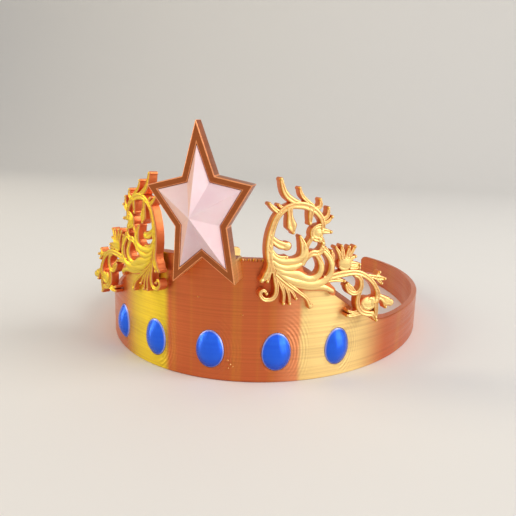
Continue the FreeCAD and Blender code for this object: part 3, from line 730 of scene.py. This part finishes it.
def marksMesh():
    work = bmesh.new()
    for degrees, height, radius in marks["beads"]:
        x, y = ringPoint(math.radians(degrees), marks["sink"])
        level = frontTop(x) if height is None else height * mm
        long = radius * mm * marks["stretch"]
        shape = Matrix.Diagonal((long, long, radius * mm, 1.0))
        bmesh.ops.create_icosphere(
            work, subdivisions=2, radius=1.0, matrix=Matrix.Translation((x, y + ringY, level)) @ shape
        )
    mesh = bpy.data.meshes.new("print_marks")
    work.to_mesh(mesh)
    work.free()
    return mesh


plate = newPiece("star_frame", starPlateMesh(), starSilk)
starPieces = [bevelled(plate, star["frameEdge"], edgeMaterial=edgeHighlightSilk)]
for side, word in ((1, "right"), (-1, "left")):
    name = "star_foot_" + word
    foot = newPiece(name, starFootMesh(name, side), starSilk)
    starPieces.append(bevelled(foot, star["frameEdge"], edgeMaterial=edgeHighlightSilk))
marksPiece = smoothed(newPiece("print_marks", marksMesh(), bandSilk), 60)
insertPiece = bevelled(newPiece("star_insert_facets", insertMesh(), pinkMaterial), star["insertEdge"])
for piece in starPieces + [insertPiece]:
    piece.data.transform(starPlace)
    smoothed(piece, 20)
print("star ready")

# Scroll panels

scroll = {
    "turn": math.radians(33.7),
    "proud": 2.2 * mm,
    "leaf": 2.5 * mm,
    "crest": 0.9 * mm,
    "stepLength": 0.35 * mm,
    "groove": 0.5,
    "profilePoints": 22,
    "fullCrestHalf": 1.1 * mm,
    "lift": 0.25 * mm,
    "ridgePower": 0.8,
    "grooveTightness": 9.0,
    "tipReach": 0.7,
    "tipTaper": 0.45,
    "bossEye": 0.05,
    "bossRise": 0.9,
    "broadCrest": 0.35,
    "broadLift": 0.02 * mm,
    "strandSwell": 1.85,
    "swirlSwell": 1.3,
    "tipSwell": 0.62,
    "tipLeast": 0.62,
    "bossTurns": 20,
    "bossRings": 6,
    "outlineParts": 5,
    "shownVeins": ("first vein", "second vein", "third vein", "fourth vein", "fifth vein"),
    "shownSwirls": ("eye vein", "low swirl", "rose swirl", "flower swirl"),
}
# every leaf is a centre line of (across, height, breadth) points in millimetres, on the right panel
leaves = {
    "stem": [(-31.6, 39.5, 1.6), (-33.0, 44.0, 2.6), (-33.2, 49.0, 2.8), (-32.3, 54.0, 2.4),
             (-30.4, 58.0, 2.2), (-27.3, 60.4, 2.2), (-23.5, 61.0, 2.6), (-19.6, 60.1, 2.6),
             (-16.6, 58.0, 2.2), (-15.0, 55.3, 1.9), (-15.0, 52.4, 1.8)],
    "horn": [(-23.5, 61.6, 1.6), (-26.3, 62.7, 2.2), (-28.3, 64.4, 2.1), (-29.4, 66.6, 1.7),
             (-30.0, 69.0, 1.2)],
    "left spur": [(-30.0, 58.4, 1.8), (-32.0, 59.9, 1.5), (-33.6, 61.4, 1.0)],
    "left bud": [(-28.8, 59.8, 1.2), (-30.5, 61.0, 0.9)],
    "top leaf": [(-18.6, 60.6, 1.4), (-21.0, 62.4, 1.4), (-22.8, 64.2, 1.4), (-23.6, 66.3, 0.9)],
    "crown leaf": [(-18.0, 59.6, 1.8), (-16.2, 60.8, 1.6), (-16.3, 62.7, 1.1)],
    "side leaf": [(-15.2, 56.2, 1.8), (-13.5, 57.5, 1.6), (-13.2, 60.0, 1.0)],
    "side hook": [(-14.6, 55.0, 1.4), (-12.9, 55.8, 1.3), (-11.7, 57.1, 0.8)],
    "drop leaf": [(-27.0, 60.2, 2.4), (-26.7, 57.8, 2.0), (-26.4, 56.0, 2.9), (-25.9, 54.3, 3.8),
                  (-25.2, 52.2, 0.9)],
    "inner lobe": [(-19.2, 60.2, 2.6), (-19.5, 57.8, 2.0), (-19.5, 55.1, 1.2)],
    "flower left": [(-15.4, 54.4, 1.6), (-17.3, 53.8, 1.8), (-18.6, 52.2, 1.9), (-17.8, 50.2, 1.8),
                    (-15.7, 49.6, 1.8)],
    "flower right": [(-15.2, 52.6, 2.4), (-13.5, 52.4, 1.8), (-11.8, 52.1, 1.0)],
    "flower foot": [(-16.0, 50.6, 2.2), (-14.8, 49.4, 1.6), (-14.2, 48.2, 1.0)],
    "inner curl": [(-33.4, 51.4, 2.2), (-31.4, 49.5, 2.4), (-29.3, 48.3, 2.8), (-27.0, 47.9, 2.4)],
    "inner strand": [(-33.8, 48.4, 2.0), (-32.2, 46.0, 1.8), (-30.0, 44.3, 1.7), (-27.2, 44.2, 1.2)],
    "arch leaf": [(-22.6, 42.0, 4.0), (-21.1, 45.0, 3.6), (-21.5, 47.8, 2.7), (-22.7, 50.8, 0.9)],
    "arch link": [(-20.6, 45.6, 1.8), (-20.0, 48.2, 1.8), (-18.6, 50.2, 1.6)],
    "middle bridge": [(-21.0, 43.0, 1.8), (-18.4, 45.2, 2.4), (-16.0, 45.3, 2.4),
                      (-14.7, 46.6, 2.0), (-14.5, 48.4, 1.2)],
    "inner arc": [(-16.8, 45.0, 1.9), (-15.3, 42.6, 2.1), (-14.7, 40.3, 2.4), (-15.5, 38.0, 2.6),
                  (-17.2, 36.6, 2.0)],
    "outer arc": [(-15.2, 47.4, 1.7), (-13.3, 45.3, 2.1), (-11.6, 43.1, 2.3), (-10.9, 40.4, 2.5),
                  (-11.7, 37.8, 2.3), (-13.8, 35.8, 2.0)],
    "arc spur": [(-11.9, 43.4, 1.6), (-12.4, 45.3, 1.3), (-13.5, 46.9, 0.8)],
    "arc bud": [(-10.6, 42.6, 1.6), (-10.5, 44.2, 1.3), (-11.2, 45.7, 0.8)],
    "second stem": [(-13.5, 36.4, 2.4), (-9.5, 37.3, 2.6), (-5.5, 37.9, 2.5), (-1.5, 38.0, 2.3),
                    (1.8, 36.9, 2.1), (4.6, 34.9, 1.8), (6.6, 32.4, 1.8), (7.6, 30.0, 2.2),
                    (7.2, 27.4, 2.4)],
    "stem barb": [(-12.2, 35.8, 1.8), (-8.6, 35.8, 1.5), (-5.7, 35.2, 0.9)],
    "fork": [(2.6, 36.6, 1.7), (5.4, 36.1, 1.7), (7.4, 35.7, 2.4), (10.1, 35.2, 1.0)],
    "fork upper": [(6.4, 35.8, 1.6), (7.8, 37.6, 0.9)],
    "fork lower": [(7.0, 35.4, 1.8), (8.9, 33.6, 1.0)],
    "eye ring": [(-2.0, 37.4, 1.7), (0.0, 36.2, 1.8), (0.9, 34.0, 1.8), (0.4, 31.8, 2.0),
                 (-1.5, 30.7, 1.8), (-3.6, 31.5, 1.7), (-5.0, 33.6, 1.1)],
    "eye curl": [(-1.6, 31.0, 1.6), (-2.6, 32.4, 1.6), (-4.4, 34.2, 1.1)],
    "low wall": [(0.6, 31.4, 1.6), (-0.1, 29.2, 1.8), (-0.1, 26.9, 1.9), (1.0, 24.5, 2.2),
                 (3.2, 23.2, 2.1), (5.9, 22.8, 2.0)],
    "low foot": [(5.4, 23.3, 2.0), (6.7, 21.9, 1.7), (7.9, 20.3, 1.0)],
    "low side": [(7.0, 27.0, 2.2), (7.4, 24.2, 1.8), (7.6, 21.4, 1.2)],
    "end leaf": [(7.4, 29.3, 2.2), (9.4, 28.4, 2.3), (11.2, 27.2, 3.2), (13.2, 26.4, 2.2)],
    "end leaf tip": [(10.4, 27.0, 1.8), (11.3, 24.9, 1.0)],
    "toe": [(0.6, 24.2, 1.6), (-1.6, 23.8, 1.3), (-3.5, 24.5, 0.9)],
    "lower toe": [(1.2, 23.4, 1.6), (-1.3, 22.8, 1.3), (-3.7, 22.9, 0.9)],
    "foot leaf": [(-33.0, 44.5, 1.8), (-33.0, 41.0, 2.2), (-33.7, 38.8, 2.8), (-35.3, 37.0, 1.4)],
    "foot leaf toe": [(-33.0, 40.0, 1.8), (-33.2, 38.0, 1.5), (-33.4, 36.5, 1.0)],
    "spiral": [(-31.4, 40.4, 1.6), (-30.7, 36.8, 1.6), (-30.2, 33.6, 1.7), (-31.0, 31.2, 1.7),
               (-33.0, 30.4, 1.5), (-35.0, 31.2, 1.4), (-35.6, 32.9, 1.2), (-34.5, 33.6, 1.1),
               (-33.6, 32.5, 1.0)],
    "first strand": [(-31.0, 39.0, 1.4), (-28.8, 35.2, 1.4), (-27.6, 32.2, 1.2), (-27.6, 28.8, 0.9)],
    "second strand": [(-30.4, 38.4, 1.4), (-27.4, 35.0, 1.4), (-25.9, 32.0, 1.2), (-25.4, 28.6, 0.9)],
    "short strand": [(-27.4, 35.2, 1.2), (-24.8, 32.8, 1.2), (-23.2, 30.2, 0.9)],
    "long strand": [(-30.6, 39.0, 1.6), (-26.2, 35.3, 1.6), (-22.2, 32.3, 1.4), (-19.4, 30.0, 1.3),
                    (-17.9, 27.3, 1.7)],
    "rose leaf 1": [(-7.4, 42.6, 1.9), (-8.4, 45.0, 1.5), (-9.7, 46.9, 0.9)],
    "rose leaf 2": [(-6.8, 43.0, 1.9), (-7.2, 45.4, 1.7), (-7.6, 47.3, 1.0)],
    "rose leaf 3": [(-5.6, 43.2, 1.9), (-5.0, 45.2, 1.6), (-4.6, 46.9, 1.0)],
    "rose leaf 4": [(-4.8, 43.0, 1.8), (-3.6, 45.2, 1.5), (-2.5, 46.9, 1.0)],
    "rose leaf 5": [(-4.8, 42.0, 1.8), (-3.2, 43.2, 1.4), (-2.1, 43.6, 0.9)],
    "rose leaf 6": [(-4.6, 41.4, 2.0), (-2.2, 41.0, 1.7), (-0.3, 40.7, 1.0)],
    "rose leaf 7": [(-4.0, 40.0, 2.0), (-1.9, 39.8, 1.4), (-0.3, 39.5, 0.9)],
}

# fleshy middles that the leaves grow from: (across, height, radius)
bosses = [(-16.5, 51.9, 2.1), (-27.4, 47.8, 1.4), (-5.7, 41.6, 3.0), (3.6, 26.3, 2.9), (6.2, 27.0, 2.2),
          (11.6, 26.9, 1.8)]

# outline of the broad leaf that fills the middle of the panel
broadLeaf = [(-33.4, 46.4), (-31.4, 44.3), (-28.6, 43.4), (-25.6, 43.7), (-22.4, 44.4), (-21.2, 42.6),
              (-21.3, 40.6), (-20.3, 38.6), (-18.8, 37.7), (-16.9, 38.6), (-15.5, 37.4), (-12.6, 36.9),
              (-10.8, 34.6), (-9.0, 32.8), (-8.8, 30.8), (-9.9, 30.4), (-11.2, 31.7), (-13.4, 32.3),
              (-19.0, 32.6), (-24.6, 34.2), (-28.4, 37.0), (-31.4, 39.6), (-33.0, 42.6)]

# raised strands, in the same form as the leaves
veins = {
    "first vein": [(-33.2, 47.4, 0.7), (-31.0, 43.9, 1.0), (-26.4, 42.8, 1.4), (-22.4, 43.8, 1.3),
                   (-20.8, 46.6, 1.1), (-22.1, 49.6, 0.6)],
    "second vein": [(-32.4, 43.4, 0.7), (-29.2, 41.2, 1.1), (-24.9, 40.9, 1.3), (-21.9, 41.9, 0.8)],
    "third vein": [(-31.6, 41.6, 0.7), (-28.0, 39.2, 1.3), (-23.2, 38.2, 1.8), (-18.6, 36.5, 1.6),
                   (-15.6, 38.0, 1.3), (-14.6, 40.5, 1.1), (-15.3, 42.8, 0.7)],
    "fourth vein": [(-30.6, 39.8, 0.7), (-26.4, 37.0, 1.2), (-21.4, 35.4, 1.5), (-16.2, 34.8, 1.8),
                    (-12.3, 36.7, 1.4), (-10.9, 39.6, 1.2), (-11.6, 42.6, 1.0), (-14.0, 45.6, 0.7)],
    "fifth vein": [(-24.4, 34.9, 0.7), (-18.6, 33.6, 0.9), (-13.4, 33.5, 1.1), (-9.8, 31.9, 0.8)],
    "eye vein": [(-1.2, 37.0, 0.7), (0.6, 35.2, 0.9), (0.7, 32.9, 0.9), (-0.9, 31.0, 0.9),
                 (-3.0, 31.1, 0.8), (-4.5, 33.0, 0.6)],
    "low swirl": [(1.6, 27.0, 0.8), (3.0, 25.2, 1.1), (5.2, 25.0, 1.1), (6.4, 26.8, 1.1),
                  (5.0, 28.4, 1.0), (3.4, 27.6, 0.7)],
    "rose swirl": [(-8.0, 40.4, 0.8), (-6.6, 39.4, 1.0), (-4.6, 39.9, 1.1), (-3.9, 41.8, 1.1),
                   (-5.2, 43.3, 1.0), (-6.8, 42.6, 0.9), (-6.3, 41.4, 0.7)],
    "flower swirl": [(-15.6, 53.7, 0.8), (-17.6, 53.3, 1.0), (-18.3, 51.6, 1.0), (-17.0, 50.3, 1.0),
                     (-15.3, 51.0, 0.9), (-15.9, 52.2, 0.7)],
}


def strokeCurve(name, strokes, swell):
    # one smooth spline for each stroke, its radius half the breadth there, its tip rounded off
    data = bpy.data.curves.new(name, "CURVE")
    data.dimensions = "3D"
    data.twist_mode = "Z_UP"
    data.resolution_u = 16
    for stations in strokes:
        points = [Vector((across, height, 0)) * mm for across, height, _ in stations]
        halves = [breadth * mm * swell / 2 for _, _, breadth in stations]
        points.append(points[-1] + (points[-1] - points[-2]).normalized() * halves[-1] * scroll["tipReach"])
        halves.append(halves[-1] * scroll["tipTaper"])
        line = data.splines.new("BEZIER")
        line.bezier_points.add(len(points) - 1)
        for knot, point, half in zip(line.bezier_points, points, halves):
            knot.co = point
            knot.radius = half
            knot.handle_left_type = knot.handle_right_type = "AUTO"
    curve = bpy.data.objects.new(name, data)
    bpy.context.scene.collection.objects.link(curve)
    return curve


def reliefTree():
    # sweeps a grooved leaf section along every spline, with upright walls down to one level back
    group = bpy.data.node_groups.new("leafRelief", "GeometryNodeTree")
    face = group.interface
    face.new_socket("Geometry", in_out="INPUT", socket_type="NodeSocketGeometry")
    for label in ("Step Length", "Leaf Depth", "Crest Height", "Full Crest Half", "Groove"):
        face.new_socket(label, in_out="INPUT", socket_type="NodeSocketFloat")
    face.new_socket("Material", in_out="INPUT", socket_type="NodeSocketMaterial")
    face.new_socket("Geometry", in_out="OUTPUT", socket_type="NodeSocketGeometry")
    tree = Tree(group)
    given = tree.add("NodeGroupInput").outputs
    result = tree.add("NodeGroupOutput")

    resample = tree.add(
        "GeometryNodeResampleCurve",
        {"Curve": given["Geometry"], "Length": given["Step Length"]},
        mode="LENGTH",
    )
    radius = tree.add("GeometryNodeInputRadius").outputs[0]
    keepHalf = tree.add(
        "GeometryNodeStoreNamedAttribute",
        {"Geometry": resample.outputs[0], "Name": "half", "Value": radius},
        data_type="FLOAT",
        domain="POINT",
    )
    lift = tree.add("FunctionNodeRandomValue", {"Seed": 5}, data_type="FLOAT")
    lift.inputs[2].default_value = 0.0
    lift.inputs[3].default_value = scroll["lift"]
    keepLift = tree.add(
        "GeometryNodeStoreNamedAttribute",
        {"Geometry": keepHalf.outputs[0], "Name": "lift", "Value": lift.outputs[1]},
        data_type="FLOAT",
        domain="CURVE",
    )

    # section: a circle's upper half becomes two ridges with a groove, its lower half the flat back
    rim = {"Resolution": scroll["profilePoints"], "Radius": 1.0}
    circle = tree.add("GeometryNodeCurvePrimitiveCircle", rim)
    spot = tree.add("ShaderNodeSeparateXYZ", {0: tree.add("GeometryNodeInputPosition").outputs[0]}).outputs
    across = spot[0]
    dome = tree.math("POWER", tree.math("ABSOLUTE", spot[1]), scroll["ridgePower"])
    spread = tree.math("MULTIPLY", tree.math("MULTIPLY", across, across), -scroll["grooveTightness"])
    bell = tree.math("POWER", math.e, spread)
    left = tree.math("SUBTRACT", 1.0, tree.math("MULTIPLY", bell, given["Groove"]))
    ridged = tree.math("MULTIPLY", dome, left)
    upper = tree.math("GREATER_THAN", spot[1], -0.001)
    height = tree.math("SUBTRACT", tree.math("MULTIPLY", ridged, upper), tree.math("SUBTRACT", 1.0, upper))
    section = tree.add("ShaderNodeCombineXYZ", {0: across, 1: height}).outputs[0]
    shaped = tree.add("GeometryNodeSetPosition", {"Geometry": circle.outputs[0], "Position": section})

    swept = tree.add(
        "GeometryNodeCurveToMesh",
        {
            "Curve": keepLift.outputs[0],
            "Profile Curve": shaped.outputs[0],
            "Scale": radius,
            "Fill Caps": True,
        },
    )
    half = tree.add("GeometryNodeInputNamedAttribute", {"Name": "half"}, data_type="FLOAT").outputs[0]
    lifted = tree.add("GeometryNodeInputNamedAttribute", {"Name": "lift"}, data_type="FLOAT").outputs[0]
    place = tree.add("ShaderNodeSeparateXYZ", {0: tree.add("GeometryNodeInputPosition").outputs[0]}).outputs
    raw = tree.math("MULTIPLY", tree.math("DIVIDE", place[2], half), -1.0)
    fullness = tree.math("MINIMUM", tree.math("DIVIDE", half, given["Full Crest Half"]), 1.0)
    rise = tree.math("MULTIPLY", fullness, given["Crest Height"])
    high = tree.math("ADD", tree.math("MULTIPLY", tree.math("MAXIMUM", raw, 0.0), rise), lifted)
    low = tree.math("MULTIPLY", tree.math("MINIMUM", raw, 0.0), given["Leaf Depth"])
    front = tree.math("GREATER_THAN", raw, -0.01)
    level = tree.math("ADD", tree.math("MULTIPLY", high, front), low)
    keepCrest = tree.add(
        "GeometryNodeStoreNamedAttribute",
        {"Geometry": swept.outputs[0], "Name": "crest", "Value": tree.math("MAXIMUM", raw, 0.0)},
        data_type="FLOAT",
        domain="POINT",
    )
    moved = tree.add("ShaderNodeCombineXYZ", {0: place[0], 1: place[1], 2: level}).outputs[0]
    placed = tree.add("GeometryNodeSetPosition", {"Geometry": keepCrest.outputs[0], "Position": moved})
    real = tree.add("GeometryNodeRealizeInstances", {"Geometry": placed.outputs[0]})
    paint = {"Geometry": real.outputs[0], "Material": given["Material"]}
    painted = tree.add("GeometryNodeSetMaterial", paint)
    tree.link(painted.outputs[0], result.inputs[0])
    return group


def swept(name, strokes, swell, groove, group):
    # sweeps the strokes and returns them as one plain mesh
    curve = strokeCurve(name, strokes, swell)
    nodes = curve.modifiers.new("relief", "NODES")
    nodes.node_group = group
    values = {
        "Step Length": scroll["stepLength"],
        "Leaf Depth": scroll["leaf"],
        "Crest Height": scroll["crest"],
        "Full Crest Half": scroll["fullCrestHalf"],
        "Groove": groove,
        "Material": scrollSilk,
    }
    for item in group.interface.items_tree:
        if item.in_out == "INPUT" and item.name in values:
            nodes[item.identifier] = values[item.name]
    bpy.context.view_layer.update()
    graph = bpy.context.evaluated_depsgraph_get()
    mesh = bpy.data.meshes.new_from_object(curve.evaluated_get(graph))
    bpy.data.objects.remove(curve)
    outwards(mesh)
    return mesh


def setCrest(mesh, heights):
    layer = mesh.attributes.new("crest", "FLOAT", "POINT")
    layer.data.foreach_set("value", heights)


def bossMesh(across, height, radius):
    # a low dome on an upright wall
    turns, rings = scroll["bossTurns"], scroll["bossRings"]
    points, heights, faces = [], [], []
    for ring in range(rings + 1):
        lean = ring / rings * math.pi / 2
        for step in range(turns):
            turn = 2 * math.pi * step / turns
            reach = radius * mm * math.sin(lean)
            if ring == 0:
                reach = radius * mm * scroll["bossEye"]
            points.append((across * mm + reach * math.cos(turn), height * mm + reach * math.sin(turn),
                           scroll["crest"] * scroll["bossRise"] * math.cos(lean)))
            heights.append(math.cos(lean))
    for step in range(turns):
        x, y, _ = points[rings * turns + step]
        points.append((x, y, -scroll["leaf"]))
        heights.append(0.0)
    for ring in range(rings + 1):
        for step in range(turns):
            after = (step + 1) % turns
            start, end = ring * turns, (ring + 1) * turns
            faces.append((start + step, start + after, end + after, end + step))
    faces.append(tuple(range(turns)))
    faces.append(tuple((rings + 1) * turns + step for step in range(turns)))
    mesh = newMesh("boss", points, faces)
    setCrest(mesh, heights)
    outwards(mesh)
    return mesh


def broadMesh():
    # the broad leaf's outline is rounded between its points and lies a little below the strands
    outline = []
    count = len(broadLeaf)
    for step in range(count):
        before, here, after, later = (Vector(broadLeaf[(step + k) % count]) for k in (-1, 0, 1, 2))
        for part in range(scroll["outlineParts"]):
            t = part / scroll["outlineParts"]
            spot = 0.5 * (2 * here + (after - before) * t + (2 * before - 5 * here + 4 * after - later) * t**2
                          + (3 * here - before - 3 * after + later) * t**3)
            outline.append((spot.x * mm, spot.y * mm))
    mesh = prism("broad_leaf", outline, 0.0, scroll["leaf"])
    upright = Matrix.Rotation(math.radians(-90), 4, "X")
    mesh.transform(Matrix.Translation((0, 0, scroll["broadLift"])) @ upright)
    crest = scroll["broadCrest"]
    setCrest(mesh, [crest if vertex.co.z > -mm else 0.0 for vertex in mesh.vertices])
    outwards(mesh)
    return mesh


def joinedMesh(name, meshes):
    work = bmesh.new()
    for mesh in meshes:
        work.from_mesh(mesh)
    whole = bpy.data.meshes.new(name)
    work.to_mesh(whole)
    work.free()
    for mesh in meshes:
        bpy.data.meshes.remove(mesh)
    return whole


def panelMesh():
    group = reliefTree()
    strands = [veins[word] for word in scroll["shownVeins"]]
    swirls = [veins[word] for word in scroll["shownSwirls"]]
    meshes = [
        swept("leaves", leaves.values(), 1.0, scroll["groove"], group),
        swept("strands", strands, scroll["strandSwell"], 0.0, group),
        swept("swirls", swirls, scroll["swirlSwell"], 0.0, group),
        broadMesh(),
    ]
    meshes += [bossMesh(*boss) for boss in bosses]
    # each leaf ends in a small round bulb
    for stations in leaves.values():
        across, height, breadth = stations[-1]
        meshes.append(bossMesh(across, height, max(breadth * scroll["tipSwell"], scroll["tipLeast"])))
    return joinedMesh("scroll_panel", meshes)


def panelPlace():
    # the panel's front crest stands proud of the band's tangent plane at the panel's turn
    turn = scroll["turn"]
    outward = Vector((math.sin(turn), -math.cos(turn), 0))
    along = Vector((math.cos(turn), math.sin(turn), 0))
    tangent = math.hypot(band["halfWidth"] * math.sin(turn), band["frontReach"] * math.cos(turn))
    level = outward * (tangent + scroll["proud"] - scroll["crest"]) + Vector((0, ringY, 0))
    turned = Matrix((along, Vector((0, 0, 1)), outward)).transposed().to_4x4()
    return Matrix.Translation(level) @ turned


rightPanel = panelMesh()
leftPanel = rightPanel.copy()
rightPanel.transform(panelPlace())
leftPanel.transform(Matrix.Scale(-1, 4, (1, 0, 0)) @ panelPlace())
leftPanel.flip_normals()
scrollPieces = []
for word, mesh in (("right", rightPanel), ("left", leftPanel)):
    scrollPieces.append(smoothed(newPiece("scroll_" + word, mesh, scrollSilk), 40))
print("scrolls ready")

# Bodies and replaced nodes

for piece in [bandPiece, marksPiece] + starPieces + scrollPieces:
    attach(piece, "root")
    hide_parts("crown_body")
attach(insertPiece, "root")
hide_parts("star_insert")
for piece, node in gemPieces:
    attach(piece, "root")
    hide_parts(node)

# Floor, backdrop, light and camera

stage = {
    "floor": (0.80, 0.79, 0.78, 1),
    "floorHalf": 3.0,
    "backdropRise": 1.6,
    "backdropDistance": 1.6,
    "sweepRadius": 0.6,
    "sweepSteps": 16,
}


def stageMaterial():
    material, tree, surface = newMaterial("paleFloor")
    place = tree.add("ShaderNodeTexCoord").outputs["Object"]
    mottle = tree.add("ShaderNodeTexNoise", {"Vector": place, "Scale": 40.0, "Detail": 3.0})
    tree.link(tree.ramp(mottle.outputs[0], 0.3, 0.7, 0.62, 0.68), surface.inputs["Roughness"])
    surface.inputs["Base Color"].default_value = stage["floor"]
    surface.inputs["Specular IOR Level"].default_value = 0.25
    return material


def stageMesh():
    # a floor that sweeps up into a backdrop behind the crown
    half, radius = stage["floorHalf"], stage["sweepRadius"]
    far = stage["backdropDistance"]
    line = [(-half, 0.0), (far - radius, 0.0)]
    for step in range(1, stage["sweepSteps"] + 1):
        lean = step / stage["sweepSteps"] * math.pi / 2
        line.append((far - radius + radius * math.sin(lean), radius - radius * math.cos(lean)))
    line.append((far, radius + stage["backdropRise"]))
    points = [(side * half, y, z) for y, z in line for side in (-1, 1)]
    faces = [(2 * step, 2 * step + 1, 2 * step + 3, 2 * step + 2) for step in range(len(line) - 1)]
    return newMesh("floor", points, faces)


floor = smoothed(newPiece("floor", stageMesh(), stageMaterial()), 60)

lamps = {
    # azimuth from the front towards the right, elevation, distance, width, height, power, colour
    "rightWindow": (80.0, 30.0, 1.6, 1.1, 1.1, 17.5, (1.0, 0.97, 0.92)),
    "leftWindow": (-74.0, 28.0, 1.6, 0.55, 1.1, 10.5, (1.0, 0.86, 0.60)),
    "topSoft": (20.0, 78.0, 1.8, 1.6, 1.6, 5.4, (1.0, 1.0, 1.0)),
}
lampAim = 30.0 * mm  # height that every lamp points at


def addLamp(name, azimuth, rise, distance, width, height, power, colour):
    turn, lift = math.radians(azimuth), math.radians(rise)
    data = bpy.data.lights.new(name, "AREA")
    data.shape = "RECTANGLE"
    data.size, data.size_y = width, height
    data.energy = power
    data.color = colour
    lamp = bpy.data.objects.new(name, data)
    away = Vector((math.sin(turn) * math.cos(lift), -math.cos(turn) * math.cos(lift), math.sin(lift)))
    target = Vector((0, 0, lampAim))
    lamp.location = target + away * distance
    lamp.rotation_euler = away.to_track_quat("Z", "Y").to_euler()
    bpy.context.scene.collection.objects.link(lamp)


for name, values in lamps.items():
    addLamp(name, *values)

world = bpy.data.worlds.new("paleRoom")
world.use_nodes = True
bpy.context.scene.world = world
room = Tree(world.node_tree)
shade = world.node_tree.nodes["Background"]
rays = room.add("ShaderNodeLightPath").outputs
shade.inputs["Color"].default_value = (1.0, 0.985, 0.97, 1)
lit = 0.36
mirrored = room.math("MAXIMUM", rays["Is Glossy Ray"], rays["Is Transmission Ray"])
seen = room.math("MAXIMUM", rays["Is Camera Ray"], mirrored)
room.link(room.ramp(seen, 0.0, 1.0, lit, 0.80), shade.inputs["Strength"])

view = {
    "lens": 36.25,
    "sensor": 36.0,
    "place": (0.0562, -0.2464, 0.0779),
    "azimuth": 14.34,
    "elevation": 11.81,
    "roll": 1.76,
}


def addCamera():
    turn, lift, roll = (math.radians(view[word]) for word in ("azimuth", "elevation", "roll"))
    back = Vector((math.sin(turn) * math.cos(lift), -math.cos(turn) * math.cos(lift), math.sin(lift)))
    level = (-back).cross(Vector((0, 0, 1))).normalized()
    upright = level.cross(-back)
    right = level * math.cos(roll) + upright * math.sin(roll)
    up = -level * math.sin(roll) + upright * math.cos(roll)
    data = bpy.data.cameras.new("camera")
    data.sensor_width = view["sensor"]
    data.lens = view["lens"]
    data.clip_start = 0.01
    camera = bpy.data.objects.new("camera", data)
    turned = Matrix((right, up, back)).transposed().to_4x4()
    camera.matrix_world = Matrix.Translation(Vector(view["place"]) + Vector((0, ringY, 0))) @ turned
    bpy.context.scene.collection.objects.link(camera)
    bpy.context.scene.camera = camera


addCamera()
bpy.context.scene.view_settings.view_transform = "Standard"

print("scene ready")
